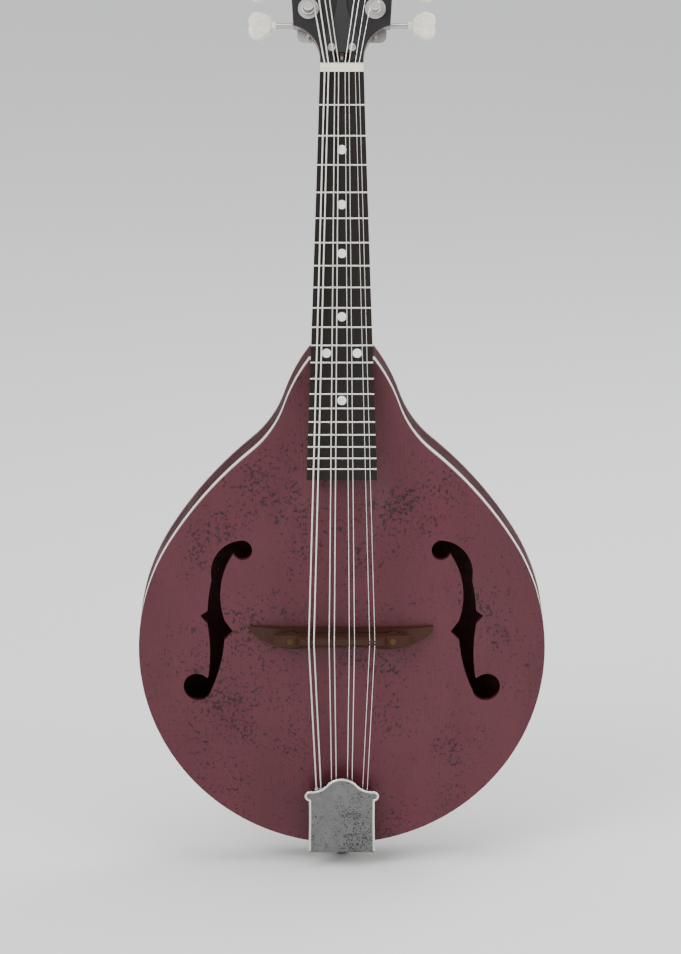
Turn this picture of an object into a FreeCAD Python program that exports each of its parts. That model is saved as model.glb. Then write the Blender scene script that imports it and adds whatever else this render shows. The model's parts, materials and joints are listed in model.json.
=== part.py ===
import FreeCAD, Part
import math
import os

from FreeCAD import Placement, Rotation, Vector

# A-style carved-top mandolin, held upright. +Z runs up along the neck, the front (soundboard) faces
# -Y, the bass strings are on the -X side. The origin is the middle of the strap pin's head at the
# tail. All sizes are millimetres and degrees.

SIZES = {
    # strings and neck
    "scale_length": 349.25,
    "fret_total": 20,
    "neck_angle": 5.5,
    "head_angle": 14,
    "joint_fret": 12,
    "joint_station": 304.5,
    "board_lift": 6,
    "board_thickness": 5,
    "board_width_nut": 26,
    "board_width_end": 42.3,
    "board_overrun": 7.2,
    "neck_depth": 14.5,
    "nut_length": 5,
    "nut_top": 7.2,
    "nut_action": 6.4,
    "octave_action": 7.8,
    "bridge_offset": 4,
    # body
    "tail_height": 9,
    "body_length": 303,
    "bout_radius": 123.5,
    "bout_turn": 32,
    "shoulder_radius": 236,
    "shoulder_turn": 50.5,
    "waist_radius": 64,
    "waist_turn": 19,
    "neck_side_radius": 102,
    "rib_depth": 35,
    "rib_thickness": 2.5,
    "plate_thickness": 3.5,
    "arch_top": 14,
    "arch_back": 12,
    "arch_radius": 114,
    "hollow_radius": 110,
    "binding_height": 8.5,
    "binding_thickness": 1.5,
    "lining_width": 5,
    "lining_height": 7,
    # bridge
    "bridge_length": 111,
    "post_reach": 31,
    "post_radius": 2,
    "wheel_radius": 5.2,
    "wheel_thickness": 2.2,
    "running_gap": 0.05,
    # tuners
    "post_pitch": 23,
    "first_post": 32,
    "post_side": 20,
    "gear_teeth": 14,
    "gear_radius": 4.5,
    "worm_radius": 2.4,
    "centre_distance": 7,
    "head_thickness": 14.5,
    "overlay_thickness": 1.5,
    "tuner_plate": 1.2,
    # tailpiece
    "tail_slope": 9.6,
    "cover_height": 8,
    "cover_sheet": 0.8,
    "pin_radius": 5.5,
    "pin_head": 4,
}

COURSES = ("g", "d", "a", "e")
STRING_RADIUS = {"g": 0.53, "d": 0.36, "a": 0.23, "e": 0.17}
NUT_CENTRE = {"g": -9.1, "d": -3.05, "a": 3.05, "e": 9.1}
SADDLE_CENTRE = {"g": -18.4, "d": -6.1, "a": 6.1, "e": 18.4}
TAIL_CENTRE = {"g": -13.7, "d": -4.6, "a": 4.6, "e": 13.7}
NUT_HALF_GAP = 1.15
SADDLE_HALF_GAP = 1.55
TAIL_HALF_GAP = 1.4

doc = FreeCAD.newDocument("mandolin")
sheet = doc.addObject("Spreadsheet::Sheet", "Sizes")
for row, (alias, value) in enumerate(SIZES.items(), start=1):
    sheet.set("A%d" % row, alias)
    sheet.set("B%d" % row, str(value))
    sheet.setAlias("B%d" % row, alias)
doc.recompute()

nodes = {}


def size(alias):
    """Read one driving dimension from the sheet."""
    return float(sheet.get(alias))


X_AXIS = Vector(1, 0, 0)
Y_AXIS = Vector(0, 1, 0)
Z_AXIS = Vector(0, 0, 1)
TAIL = size("tail_height")
EDGE = size("rib_depth") / 2 + size("plate_thickness")
RIB_HALF = size("rib_depth") / 2
GAP = size("running_gap")


def fret_distance(number):
    """Distance from the nut to a fret along the board, in equal temperament."""
    return size("scale_length") * (1 - 2 ** (-number / 12))


# ---------------------------------------------------------------- frames

NECK_TURN = Rotation(X_AXIS, -size("neck_angle"))
JOINT_POINT = Vector(0, -EDGE - size("board_lift"), TAIL + size("joint_station"))
NECK = Placement(JOINT_POINT + NECK_TURN.multVec(Vector(0, 0, fret_distance(size("joint_fret")))), NECK_TURN)
HEAD = NECK.multiply(Placement(Vector(0, 0, size("nut_length")), Rotation(X_AXIS, -size("head_angle"))))
BODY = Placement(Vector(0, 0, TAIL), Rotation())
TAILPIECE = Placement(Vector(0, -EDGE - 1, TAIL - 1), Rotation(X_AXIS, size("tail_slope")))


# ---------------------------------------------------------------- helpers


def keep(label, item):
    """Give an object its node name and list it for export."""
    item.Label = label
    nodes[label] = item
    return item


def feature(label, shape, placement=None):
    """A sub-part whose shape is worked out with Part's own functions."""
    item = doc.addObject("Part::Feature", label)
    item.Shape = shape
    if placement is not None:
        item.Placement = placement.multiply(shape.Placement)
    return keep(label, item)


def helper(name, shape, placement=None):
    """A tool shape that is combined into a sub-part and isn't exported."""
    item = doc.addObject("Part::Feature", name)
    item.Shape = shape
    if placement is not None:
        item.Placement = placement.multiply(shape.Placement)
    return item


def origin_plane(body, role):
    return next(plane for plane in body.Origin.OriginFeatures if plane.Role == role)


def draw(body, role, curves, offset):
    """A sketch of the given curves on one of the body's origin planes, moved along its normal."""
    drawing = body.newObject("Sketcher::SketchObject", "Sketch")
    drawing.AttachmentSupport = [(origin_plane(body, role), "")]
    drawing.MapMode = "FlatFace"
    drawing.setExpression("AttachmentOffset.Base.z", offset)
    drawing.addGeometry(curves, False)
    return drawing


def pad(body, role, curves, offset, length):
    """Pad a closed outline along the plane's normal, which is -Y for the XZ plane."""
    drawing = draw(body, role, curves, offset)
    step = body.newObject("PartDesign::Pad", "Pad")
    step.Profile = drawing
    step.setExpression("Length", length)
    return step


def new_body(label, placement=None):
    body = doc.addObject("PartDesign::Body", label)
    if placement is not None:
        body.Placement = placement
    return body


def revolved(label, points, placement):
    """A body turned about the sketch's vertical axis from a closed profile in the XY plane."""
    body = new_body(label, placement)
    drawing = draw(body, "XY_Plane", polygon(points), "0 mm")
    turn = body.newObject("PartDesign::Revolution", "Revolution")
    turn.Profile = drawing
    turn.ReferenceAxis = (drawing, ["V_Axis"])
    turn.Angle = 360
    return body


def cut(label, base, tools):
    """Part::Cut of one object with one or more tools."""
    return boolean(label, "Part::Cut", base, tools)


def boolean(label, kind, base, tools):
    tool = tools[0]
    if len(tools) > 1:
        tool = doc.addObject("Part::MultiFuse", "Tools")
        tool.Shapes = tools
    item = doc.addObject(kind, label)
    item.Base = base
    item.Tool = tool
    return keep(label, item)


def flat(x, z):
    """A point of a sketch."""
    return Vector(x, z, 0)


def polygon(points):
    """Closed chain of straight lines through (x, y) pairs."""
    ring = list(points) + [points[0]]
    return [Part.LineSegment(flat(*a), flat(*b)) for a, b in zip(ring, ring[1:])]


def path(steps):
    """Closed chain of lines and arcs. Each step is (end) or (via, end), from the last step's end."""
    curves = []
    here = flat(*steps[-1][-1])
    for step in steps:
        end = flat(*step[-1])
        if len(step) == 2:
            curves.append(Part.Arc(here, flat(*step[0]), end))
        else:
            curves.append(Part.LineSegment(here, end))
        here = end
    return curves


def mirrored_steps(steps):
    return [tuple((-x, z) for x, z in step) for step in steps]


def front_face(curves):
    """A flat face in the XZ plane from sketch curves."""
    edges = []
    for curve in curves:
        edge = curve.toShape()
        edge.rotate(Vector(0, 0, 0), X_AXIS, 90)
        edges.append(edge)
    return Part.Face(Part.Wire(Part.__sortEdges__(edges)))


def front_prism(curves, y_from, y_to):
    """A solid with the given front outline between two values of y."""
    face = front_face(curves)
    face.translate(Vector(0, y_from, 0))
    return face.extrude(Vector(0, y_to - y_from, 0))


def block(x_low, x_high, y_low, y_high, z_low, z_high):
    return Part.makeBox(x_high - x_low, y_high - y_low, z_high - z_low, Vector(x_low, y_low, z_low))


def rod(start, end, radius):
    """A cylinder from one point to another."""
    along = end - start
    return Part.makeCylinder(radius, along.Length, start, along)


# ---------------------------------------------------------------- body outline


def side_arcs(inset):
    """The treble side of the body outline from tail to neck, as (start, middle, end) of four arcs.

    Each arc is tangent to the next, and an inset moves the whole line inwards by that much.
    """
    turns = [math.radians(size(name)) for name in ("bout_turn", "shoulder_turn", "waist_turn")]
    bout, shoulder = size("bout_radius"), size("shoulder_radius")
    waist, neck_side = size("waist_radius"), size("neck_side_radius")

    def towards(angle, length):
        return Vector(math.cos(angle) * length, math.sin(angle) * length, 0)

    bout_centre = flat(0, bout)
    shoulder_centre = bout_centre - towards(turns[0], shoulder - bout)
    waist_centre = shoulder_centre + towards(turns[1], shoulder + waist)
    neck_centre = waist_centre - towards(turns[2], waist + neck_side)
    last_turn = math.asin((size("body_length") - neck_centre.y) / (neck_side - inset))
    stretches = (
        (bout_centre, bout - inset, -math.pi / 2, turns[0]),
        (shoulder_centre, shoulder - inset, turns[0], turns[1]),
        (waist_centre, -waist - inset, turns[1], turns[2]),
        (neck_centre, neck_side - inset, turns[2], last_turn),
    )
    arcs = []
    for centre, radius, start, end in stretches:
        angles = (start, (start + end) / 2, end)
        arcs.append(tuple(centre + towards(angle, radius) for angle in angles))
    return arcs


def as_steps(arcs):
    return [((via.x, via.y), (end.x, end.y)) for start, via, end in arcs]


def backwards(arcs):
    return [(end, via, start) for start, via, end in reversed(arcs)]


def body_outline(inset):
    """The whole body outline, closed by the straight line where the neck joins."""
    right = side_arcs(inset)
    steps = as_steps(right)
    top = right[-1][2]
    left = [tuple(Vector(-p.x, p.y, 0) for p in arc) for arc in backwards(right)]
    return path(steps + [((-top.x, top.y),)] + as_steps(left))


def side_strip(outer_inset, inner_inset, side):
    """One half of the rim between two insets, from the tail seam to the neck."""
    outer = side_arcs(outer_inset)
    inner = side_arcs(inner_inset)
    turn_in = inner[-1][2]
    start = outer[0][0]
    steps = as_steps(outer) + [((turn_in.x, turn_in.y),)] + as_steps(backwards(inner))
    steps.append(((start.x, start.y),))
    if side < 0:
        steps = mirrored_steps(steps)
    return path(steps)


def rim_strip(outer_inset, inner_inset):
    """A strip round the whole rim, open at the neck."""
    outer = side_arcs(outer_inset)
    inner = side_arcs(inner_inset)

    def mirror(arcs):
        return [tuple(Vector(-p.x, p.y, 0) for p in arc) for arc in arcs]

    steps = as_steps(outer)
    steps.append(((inner[-1][2].x, inner[-1][2].y),))
    steps += as_steps(backwards(inner)) + as_steps(mirror(inner))
    steps.append(((-outer[-1][2].x, outer[-1][2].y),))
    steps += as_steps(backwards(mirror(outer)))
    return path(steps)


# ---------------------------------------------------------------- carved plates


NO_RIDGE = (230, 60, 34, 0)
OUTER_RIDGE = (230, 60, 34, 4.5)
INNER_RIDGE = (215, 45, 28, 4.5)


def arch_height(x, z, height, radius, ridge):
    """Rise of a carved plate over its flat edge: a round dome and a low ridge towards the neck.

    The ridge is (its centre's z, half its length, half its width, its height).
    """
    ridge_centre, ridge_length, ridge_width, ridge_height = ridge
    dome = 1 - min(1.0, math.hypot(x, z - size("bout_radius")) / radius) ** 3
    reach = min(1.0, math.hypot(x / ridge_width, (z - ridge_centre) / ridge_length))
    return height * dome ** 2 + ridge_height * (1 - reach ** 3) ** 2


def carved_block(height, radius, ridge, edge):
    """Solid behind a carved surface. The surface is at y = -edge where the plate is flat."""
    columns, rows = 27, 35
    grid = []
    for column in range(columns):
        x = -140 + 280 * column / (columns - 1)
        line = []
        for step in range(rows):
            z = -12 + 330 * step / (rows - 1)
            line.append(Vector(x, -edge - arch_height(x, z, height, radius, ridge), z))
        grid.append(line)
    surface = Part.BSplineSurface()
    surface.interpolate(grid)
    return surface.toShape().extrude(Vector(0, 60, 0))


def carved_plate(height, outer_ridge, inner_ridge):
    """A plate carved outside and hollowed inside, flat where it is glued to the rim."""
    outline = front_prism(body_outline(0), -80, -RIB_HALF)
    outside = carved_block(height, size("arch_radius"), outer_ridge, EDGE)
    inside = carved_block(height + 0.4, size("hollow_radius"), inner_ridge, RIB_HALF - 0.4)
    return outside.common(outline).cut(inside)


def f_hole(side):
    """Cutter for one f-shaped sound hole: two round eyes, a curved stem and its two nicks."""
    outer = [
        ((-60.2, 192.2),),
        ((-73.2, 186.4), (-79.0, 167.5)),
        ((-80.8, 157.0), (-81.5, 148.5)),
        ((-85.9, 145.2),),
        ((-81.6, 140.5),),
        ((-80.0, 122.0), (-81.2, 107.0)),
        ((-87.8, 100.1),),
    ]
    inner = [
        ((-80.6, 95.9),),
        ((-74.4, 112.5), (-71.2, 131.0)),
        ((-66.0, 136.6),),
        ((-71.0, 143.0),),
        ((-73.4, 163.5), (-65.6, 184.0)),
        ((-60.2, 186.3),),
    ]
    steps = outer + inner
    if side > 0:
        steps = mirrored_steps(steps)
    stem = front_prism(path(steps), -60, -10)
    upper_eye = rod(Vector(60.2 * side, -60, 186.3), Vector(60.2 * side, -10, 186.3), 5.9)
    lower_eye = rod(Vector(87.8 * side, -60, 100.1), Vector(87.8 * side, -10, 100.1), 8.5)
    return stem.fuse([upper_eye, lower_eye])


def make_plates():
    front = carved_plate(size("arch_top"), OUTER_RIDGE, INNER_RIDGE)
    holes = [f_hole(-1), f_hole(1)]
    feature("top_plate", front.cut(holes), BODY)
    rear = carved_plate(size("arch_back"), NO_RIDGE, NO_RIDGE)
    feature("back_plate", rear.mirror(Vector(0, 0, 0), Y_AXIS), BODY)


# ---------------------------------------------------------------- ribs, blocks and linings

PIN_BORE = 4.0
SCREW_RADIUS = 1.1
SCREW_LENGTH = 9.5
TAIL_SCREW_X = 12
TAIL_SCREW_Y = 5


def tail_screw_points():
    """Where the tailpiece screws start, on the rim's outer face, in the body frame."""
    radius = size("bout_radius")
    drop = radius - math.sqrt(radius ** 2 - TAIL_SCREW_X ** 2)
    return [Vector(side * TAIL_SCREW_X, TAIL_SCREW_Y, drop) for side in (-1, 1)]


def tail_bores(screw_radius):
    bores = [rod(Vector(0, 0, -6), Vector(0, 0, 19), PIN_BORE)]
    for point in tail_screw_points():
        bores.append(rod(point - Z_AXIS * 3, point + Z_AXIS * SCREW_LENGTH, screw_radius))
    return bores


def make_rim():
    bores = Part.makeCompound(tail_bores(SCREW_RADIUS))
    for label, side in (("rib_bass", -1), ("rib_treble", 1)):
        body = new_body(label + "_blank", BODY)
        full = side_strip(0, size("rib_thickness"), side)
        behind = side_strip(size("binding_thickness"), size("rib_thickness"), side)
        pad(body, "XZ_Plane", full, "-Sizes.rib_depth / 2", "Sizes.rib_depth - Sizes.binding_height")
        pad(body, "XZ_Plane", behind, "Sizes.rib_depth / 2 - Sizes.binding_height", "Sizes.binding_height")
        cut(label, body, [helper("tail_bores", bores, BODY)])
    body = new_body("top_binding", BODY)
    strip = rim_strip(0, size("binding_thickness"))
    pad(body, "XZ_Plane", strip, "Sizes.rib_depth / 2 - Sizes.binding_height", "Sizes.binding_height")
    keep("top_binding", body)


HEAD_BLOCK_FROM = 262
TAIL_BLOCK_TO = 20
TAIL_BLOCK_HALF = 32
TENON = (-8, 8, -RIB_HALF, 12, 290, 303)


def make_blocks():
    inside = front_prism(body_outline(size("rib_thickness")), -RIB_HALF, RIB_HALF)
    head_space = block(-60, 60, -RIB_HALF, RIB_HALF, HEAD_BLOCK_FROM, 320)
    tail_space = block(-TAIL_BLOCK_HALF, TAIL_BLOCK_HALF, -RIB_HALF, RIB_HALF, -5, TAIL_BLOCK_TO)
    feature("head_block", inside.common(head_space).cut(block(*TENON)), BODY)
    feature("tail_block", inside.common(tail_space).cut(tail_bores(SCREW_RADIUS)), BODY)
    inner = size("rib_thickness") + size("lining_width")
    for label, y_from in (("top_linings", -RIB_HALF), ("back_linings", RIB_HALF - size("lining_height"))):
        ring = front_prism(rim_strip(size("rib_thickness"), inner), y_from, y_from + size("lining_height"))
        feature(label, ring.cut([head_space, tail_space]), BODY)


def make_tone_bars():
    """Two spruce bars glued along the inside of the soundboard, cut to its hollow."""
    inside = carved_block(size("arch_top") + 0.4, size("hollow_radius"), INNER_RIDGE, RIB_HALF - 0.4)
    deeper = inside.copy()
    deeper.translate(Vector(0, 7, 0))
    skin = inside.cut(deeper)
    bars = []
    for side in (-1, 1):
        bar = block(-2.5, 2.5, -60, 20, -75, 75)
        bar.rotate(Vector(0, 0, 0), Y_AXIS, side * 7)
        bar.translate(Vector(side * 30, 0, 128))
        bars.append(skin.common(bar))
    feature("tone_bars", Part.makeCompound([solid for bar in bars for solid in bar.Solids]), BODY)


# ---------------------------------------------------------------- neck


def half_width(distance):
    """Half the fretboard's width at a distance from the nut."""
    total = fret_distance(size("fret_total")) + size("board_overrun")
    nut, end = size("board_width_nut") / 2, size("board_width_end") / 2
    return nut + (end - nut) * distance / total


NECK_SECTIONS = ((-5, 14.5), (50, 15.2), (110, 16.0), (140, 19.0), (156, 28.0), (168, 41.0), (182, 50.0))
ROD_DEPTH = 7.5
ROD_LENGTH = 164
ROD_RADIUS = 2.4


def d_section(half, depth):
    """Half an ellipse under a straight line: the section of the neck."""
    if depth > half:
        ellipse = Part.Ellipse(flat(0, depth), flat(half, 0), flat(0, 0))
        arc = Part.ArcOfEllipse(ellipse, -math.pi / 2, math.pi / 2)
    else:
        arc = Part.ArcOfEllipse(Part.Ellipse(flat(0, 0), half, depth), 0, math.pi)
    return [arc, Part.LineSegment(flat(-half, 0), flat(half, 0))]


def make_neck_shaft():
    """Loft the neck from the nut to the heel, in the neck's own frame."""
    body = new_body("neck_shaft", NECK)
    drawings = []
    for distance, depth in NECK_SECTIONS:
        section = d_section(half_width(max(0, distance)), depth)
        drawings.append(draw(body, "XY_Plane", section, "%s mm" % -distance))
    loft = body.newObject("PartDesign::AdditiveLoft", "AdditiveLoft")
    loft.Profile = drawings[0]
    loft.Sections = drawings[1:]
    return body


HEAD_STEPS = [
    ((13.0, 0.0),),
    ((16.0, 13.0), (29.0, 22.0)),
    ((34.5, 112.0),),
    ((33.0, 121.0), (25.0, 125.0)),
    ((12.0, 127.5), (0.0, 135.0)),
    ((-12.0, 127.5), (-25.0, 125.0)),
    ((-33.0, 121.0), (-34.5, 112.0)),
    ((-29.0, 22.0),),
    ((-16.0, 13.0), (-13.0, 0.0)),
]
POCKET = (-4.6, 4.6, -9, 11.5, 6, 26)


def post_places():
    """(course, number, x, z) of the eight tuner posts in the headstock's frame."""
    places = []
    for side, order in ((-1, ("g", "d")), (1, ("e", "a"))):
        for index in range(4):
            course = order[index // 2]
            z = size("first_post") + index * size("post_pitch")
            places.append((course, index % 2 + 1, side * size("post_side"), z))
    return places


def head_screw_places():
    """Wood screws of the two tuner plates, in the headstock's frame."""
    between = [size("first_post") + index * size("post_pitch") + 8.3 for index in range(-1, 4)]
    return [(side * size("post_side"), z) for side in (-1, 1) for z in between]


COVER_THICKNESS = 1.6
COVER_SCREWS = ((-6.2, 8.5), (6.2, 8.5), (0.0, 40.0))


def make_headstock_blank():
    body = new_body("headstock_blank", HEAD)
    pad(body, "XZ_Plane", path(HEAD_STEPS), "-Sizes.head_thickness", "Sizes.head_thickness")
    return body


def volute():
    """The wedge that turns the neck's back into the headstock's back, in the neck's frame."""
    slope = math.radians(size("head_angle"))
    depth, reach = size("head_thickness"), 12
    start = size("nut_length")
    front = (reach * math.sin(slope), start + reach * math.cos(slope))
    back = (front[0] + depth * math.cos(slope), front[1] - depth * math.sin(slope))
    points = [(0, -3), (0, start), front, back, (size("neck_depth"), -3)]
    ring = [Vector(-13, y, z) for y, z in points]
    solid = Part.Face(Part.makePolygon(ring + [ring[0]])).extrude(Vector(26, 0, 0))
    edges = [edge for edge in solid.Edges if abs(edge.CenterOfMass.x) > 12.9 and edge.CenterOfMass.y > 13]
    return solid.makeFillet(5.5, edges)


def make_neck():
    shaft = make_neck_shaft()
    headstock = make_headstock_blank()
    wedge = helper("volute", volute(), NECK)
    total = fret_distance(size("fret_total")) + size("board_overrun")
    reach = fret_distance(size("joint_fret")) - 6
    tongue = helper("board_support", block(-13, 13, 0, 4, -total + 6, -reach), NECK)
    waste = block(-60, 60, -EDGE, 90, 150, TAIL + size("body_length"))
    heel_end = block(-60, 60, EDGE, 90, 150, 420)
    trim = helper("heel_trim", waste.fuse(heel_end))
    tenon = helper("tenon", block(*TENON), BODY)
    blank = doc.addObject("Part::MultiFuse", "neck_blank")
    blank.Shapes = [shaft, headstock, wedge]
    trimmed = doc.addObject("Part::Cut", "neck_trimmed")
    trimmed.Base = blank
    trimmed.Tool = trim
    joined = doc.addObject("Part::MultiFuse", "neck_joined")
    joined.Shapes = [trimmed, tongue, tenon]
    groove = block(-ROD_RADIUS, ROD_RADIUS, 0, ROD_DEPTH, -ROD_LENGTH, 14)
    bottom = rod(Vector(0, ROD_DEPTH, -ROD_LENGTH), Vector(0, ROD_DEPTH, 14), ROD_RADIUS)
    pocket = block(*POCKET)
    neck_tools = helper("rod_groove", groove.fuse([bottom, pocket]), NECK)
    bores = [rod(Vector(x, -4, z), Vector(x, 20, z), 4.5) for _, _, x, z in post_places()]
    depth = size("head_thickness")
    for x, z in head_screw_places():
        bores.append(rod(Vector(x, depth + 1, z), Vector(x, depth + 1.2 - SCREW_LENGTH, z), SCREW_RADIUS))
    for x, z in COVER_SCREWS:
        bores.append(rod(Vector(x, -2, z), Vector(x, 6.2, z), SCREW_RADIUS))
    head_tools = helper("head_bores", Part.makeCompound(bores), HEAD)
    cut("neck", joined, [neck_tools, head_tools])


def make_overlay():
    """The dark veneer on the front of the headstock."""
    body = new_body("overlay_blank", HEAD)
    pad(body, "XZ_Plane", path(HEAD_STEPS), "0 mm", "Sizes.overlay_thickness")
    bores = [rod(Vector(x, -4, z), Vector(x, 2, z), 4.5) for _, _, x, z in post_places()]
    bores += [rod(Vector(x, -4, z), Vector(x, 2, z), SCREW_RADIUS) for x, z in COVER_SCREWS]
    pocket = helper("overlay_pocket", block(*POCKET), NECK)
    nut_room = helper("nut_room", block(-20, 20, -9, 2, -10, size("nut_length")), NECK)
    cut("peghead_overlay", body, [helper("overlay_bores", Part.makeCompound(bores), HEAD), pocket, nut_room])


def make_truss_rod():
    """Steel rod under the fretboard, its adjusting nut, and the cover over the nut."""
    nut_from, nut_to = 8.0, 17.0
    thread = rod(Vector(0, ROD_DEPTH, -ROD_LENGTH), Vector(0, ROD_DEPTH, 12), ROD_RADIUS - 0.1)
    feature("truss_rod", thread, NECK)
    body = new_body("truss_nut_blank", NECK)
    hexagon = [(3.4 * math.sin(math.radians(60 * k)), 3.4 * math.cos(math.radians(60 * k))) for k in range(6)]
    points = [(x, ROD_DEPTH + y) for x, y in hexagon]
    pad(body, "XY_Plane", polygon(points), "%s mm" % nut_from, "%s mm" % (nut_to - nut_from))
    bore = rod(Vector(0, ROD_DEPTH, 0), Vector(0, ROD_DEPTH, 12.5), ROD_RADIUS - 0.1 + GAP)
    cut("truss_rod_nut", body, [helper("nut_thread", bore, NECK)])
    cover = new_body("cover_blank", HEAD)
    outline = path([
        ((9.0, 5.5),),
        ((9.6, 14.0), (7.5, 22.0)),
        ((3.0, 34.0), (3.0, 41.0)),
        ((0.0, 44.0), (-3.0, 41.0)),
        ((-3.0, 34.0), (-7.5, 22.0)),
        ((-9.6, 14.0), (-9.0, 5.5)),
    ])
    pad(cover, "XZ_Plane", outline, "Sizes.overlay_thickness", "%s mm" % COVER_THICKNESS)
    bores = Part.makeCompound([rod(Vector(x, -6, z), Vector(x, 0, z), SCREW_RADIUS) for x, z in COVER_SCREWS])
    cut("truss_rod_cover", cover, [helper("cover_bores", bores, HEAD)])


# ---------------------------------------------------------------- fretboard


def make_fretboard():
    total = fret_distance(size("fret_total")) + size("board_overrun")
    end = half_width(total)
    nut = half_width(0)
    body = new_body("fretboard_blank", NECK)
    outline = polygon([(-nut, 0), (nut, 0), (end, -total), (-end, -total)])
    pad(body, "XZ_Plane", outline, "0 mm", "Sizes.board_thickness")
    surface = -size("board_thickness")
    slots = []
    frets = []
    for number in range(1, int(size("fret_total")) + 1):
        distance = fret_distance(number)
        half = half_width(distance)
        slots.append(block(-30, 30, surface - 1, surface + 1.8, -distance - 0.3, -distance + 0.3))
        tang = block(-half, half, surface, surface + 1.8, -distance - 0.3, -distance + 0.3)
        crown = rod(Vector(-half, surface + 0.1, -distance), Vector(half, surface + 0.1, -distance), 1.1)
        crown = crown.cut(block(-30, 30, surface, surface + 5, -distance - 3, -distance + 3))
        frets.append(tang.fuse(crown).removeSplitter())
    dots = []
    wells = []
    for number, offsets in ((3, (0,)), (5, (0,)), (7, (0,)), (10, (0,)), (12, (-9.2, 9.2)), (15, (0,))):
        middle = (fret_distance(number) + fret_distance(number - 1)) / 2
        for x in offsets:
            dots.append(rod(Vector(x, surface + 1.5, -middle), Vector(x, surface - 0.05, -middle), 2.75))
            wells.append(rod(Vector(x, surface + 1.5, -middle), Vector(x, surface - 1, -middle), 2.75))
    cut("fretboard", body, [helper("fret_slots", Part.makeCompound(slots + wells), NECK)])
    feature("frets", Part.makeCompound(frets), NECK)
    feature("fret_markers", Part.makeCompound(dots), NECK)


# ---------------------------------------------------------------- strings


def neck_point(x, y, z):
    return NECK.multVec(Vector(x, y, z))


def head_point(x, y, z):
    return HEAD.multVec(Vector(x, y, z))


CREST_DISTANCE = size("scale_length") - size("bridge_offset")
CREST_ACTION = (size("nut_action")
                + (size("octave_action") - size("nut_action")) * CREST_DISTANCE / fret_distance(12))
ANCHOR = (5.4, 32.0)
POST_RADIUS = 3.0
WIND_HEIGHT = 6.2


def string_points(course, number):
    """Centre line of one string: tail hook, saddle crest, nut front, nut back, tuner post."""
    radius = STRING_RADIUS[course]
    outward = -1 if number == 1 else 1
    if NUT_CENTRE[course] > 0:
        outward = -outward
    hook = TAILPIECE.multVec(Vector(TAIL_CENTRE[course] + outward * TAIL_HALF_GAP, -ANCHOR[0], ANCHOR[1]))
    saddle_x = SADDLE_CENTRE[course] + outward * SADDLE_HALF_GAP
    crest = neck_point(saddle_x, -CREST_ACTION - radius, -CREST_DISTANCE)
    nut_x = NUT_CENTRE[course] + outward * NUT_HALF_GAP
    front = neck_point(nut_x, -size("nut_action") - radius, 0)
    place = next(p for p in post_places() if p[0] == course and p[1] == number)
    side = 1 if place[2] > 0 else -1
    x = place[2] - side * (POST_RADIUS + radius + 0.12)
    end = head_point(x, -WIND_HEIGHT, place[3])
    back = neck_point(nut_x, -size("nut_action") - radius + 0.4, size("nut_length"))
    return [hook, crest, front, back, end]


def string_solid(course, number, extra=0.0):
    radius = STRING_RADIUS[course] + extra
    points = string_points(course, number)
    solids = [rod(a, b, radius) for a, b in zip(points, points[1:])]
    solids += [Part.makeSphere(radius, point) for point in points[1:-1]]
    return solids[0].fuse(solids[1:])


def make_strings():
    for course in COURSES:
        feature("strings_" + course, Part.makeCompound([string_solid(course, n) for n in (1, 2)]))


def all_string_channels():
    return Part.makeCompound([string_solid(c, n, 0.03) for c in COURSES for n in (1, 2)])


def make_nut():
    half = half_width(0)
    nut = doc.addObject("Part::Box", "nut_blank")
    nut.setExpression("Length", "Sizes.board_width_nut")
    nut.setExpression("Width", "Sizes.nut_top")
    nut.setExpression("Height", "Sizes.nut_length")
    nut.Placement = NECK.multiply(Placement(Vector(-half, -size("nut_top"), 0), Rotation()))
    cut("nut", nut, [helper("string_slots", all_string_channels())])


# ---------------------------------------------------------------- bridge

CREST = neck_point(0, -CREST_ACTION, -CREST_DISTANCE)
BRIDGE_Z = CREST.z - TAIL
PLATFORM = -41.0
WHEEL_BACK = PLATFORM - 1.5
SADDLE_BACK = WHEEL_BACK - size("wheel_thickness") - GAP


def make_bridge():
    half = size("bridge_length") / 2
    plan = path([
        ((half, 5.5),),
        ((half - 1.4, 1.4), (half - 5.0, -1.6)),
        ((30.0, -6.8), (12.0, -4.6)),
        ((0.0, -5.9), (-12.0, -4.6)),
        ((-30.0, -6.8), (-half + 5.0, -1.6)),
        ((-half + 1.4, 1.4), (-half, 5.5)),
    ])
    front = [(-half, -34.5), (-37, PLATFORM), (37, PLATFORM), (half, -34.5), (half, -20), (-half, -20)]
    footprint = front_prism(plan, -60, -20)
    footprint.translate(Vector(0, 0, BRIDGE_Z))
    ring = [Vector(x, y, BRIDGE_Z - 10) for x, y in front]
    height = Part.Face(Part.makePolygon(ring + [ring[0]])).extrude(Vector(0, 0, 20))
    board = carved_block(size("arch_top"), size("arch_radius"), OUTER_RIDGE, EDGE)
    base = footprint.common(height).cut(board)
    posts = []
    for side in (-1, 1):
        foot = Vector(side * size("post_reach"), -36.5, BRIDGE_Z)
        posts.append(rod(foot, foot + Vector(0, -12.8, 0), size("post_radius")))
    feature("bridge_base", base.cut(posts), BODY)
    feature("bridge_posts", Part.makeCompound(posts), BODY)
    make_saddle()
    make_thumbwheels()


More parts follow.
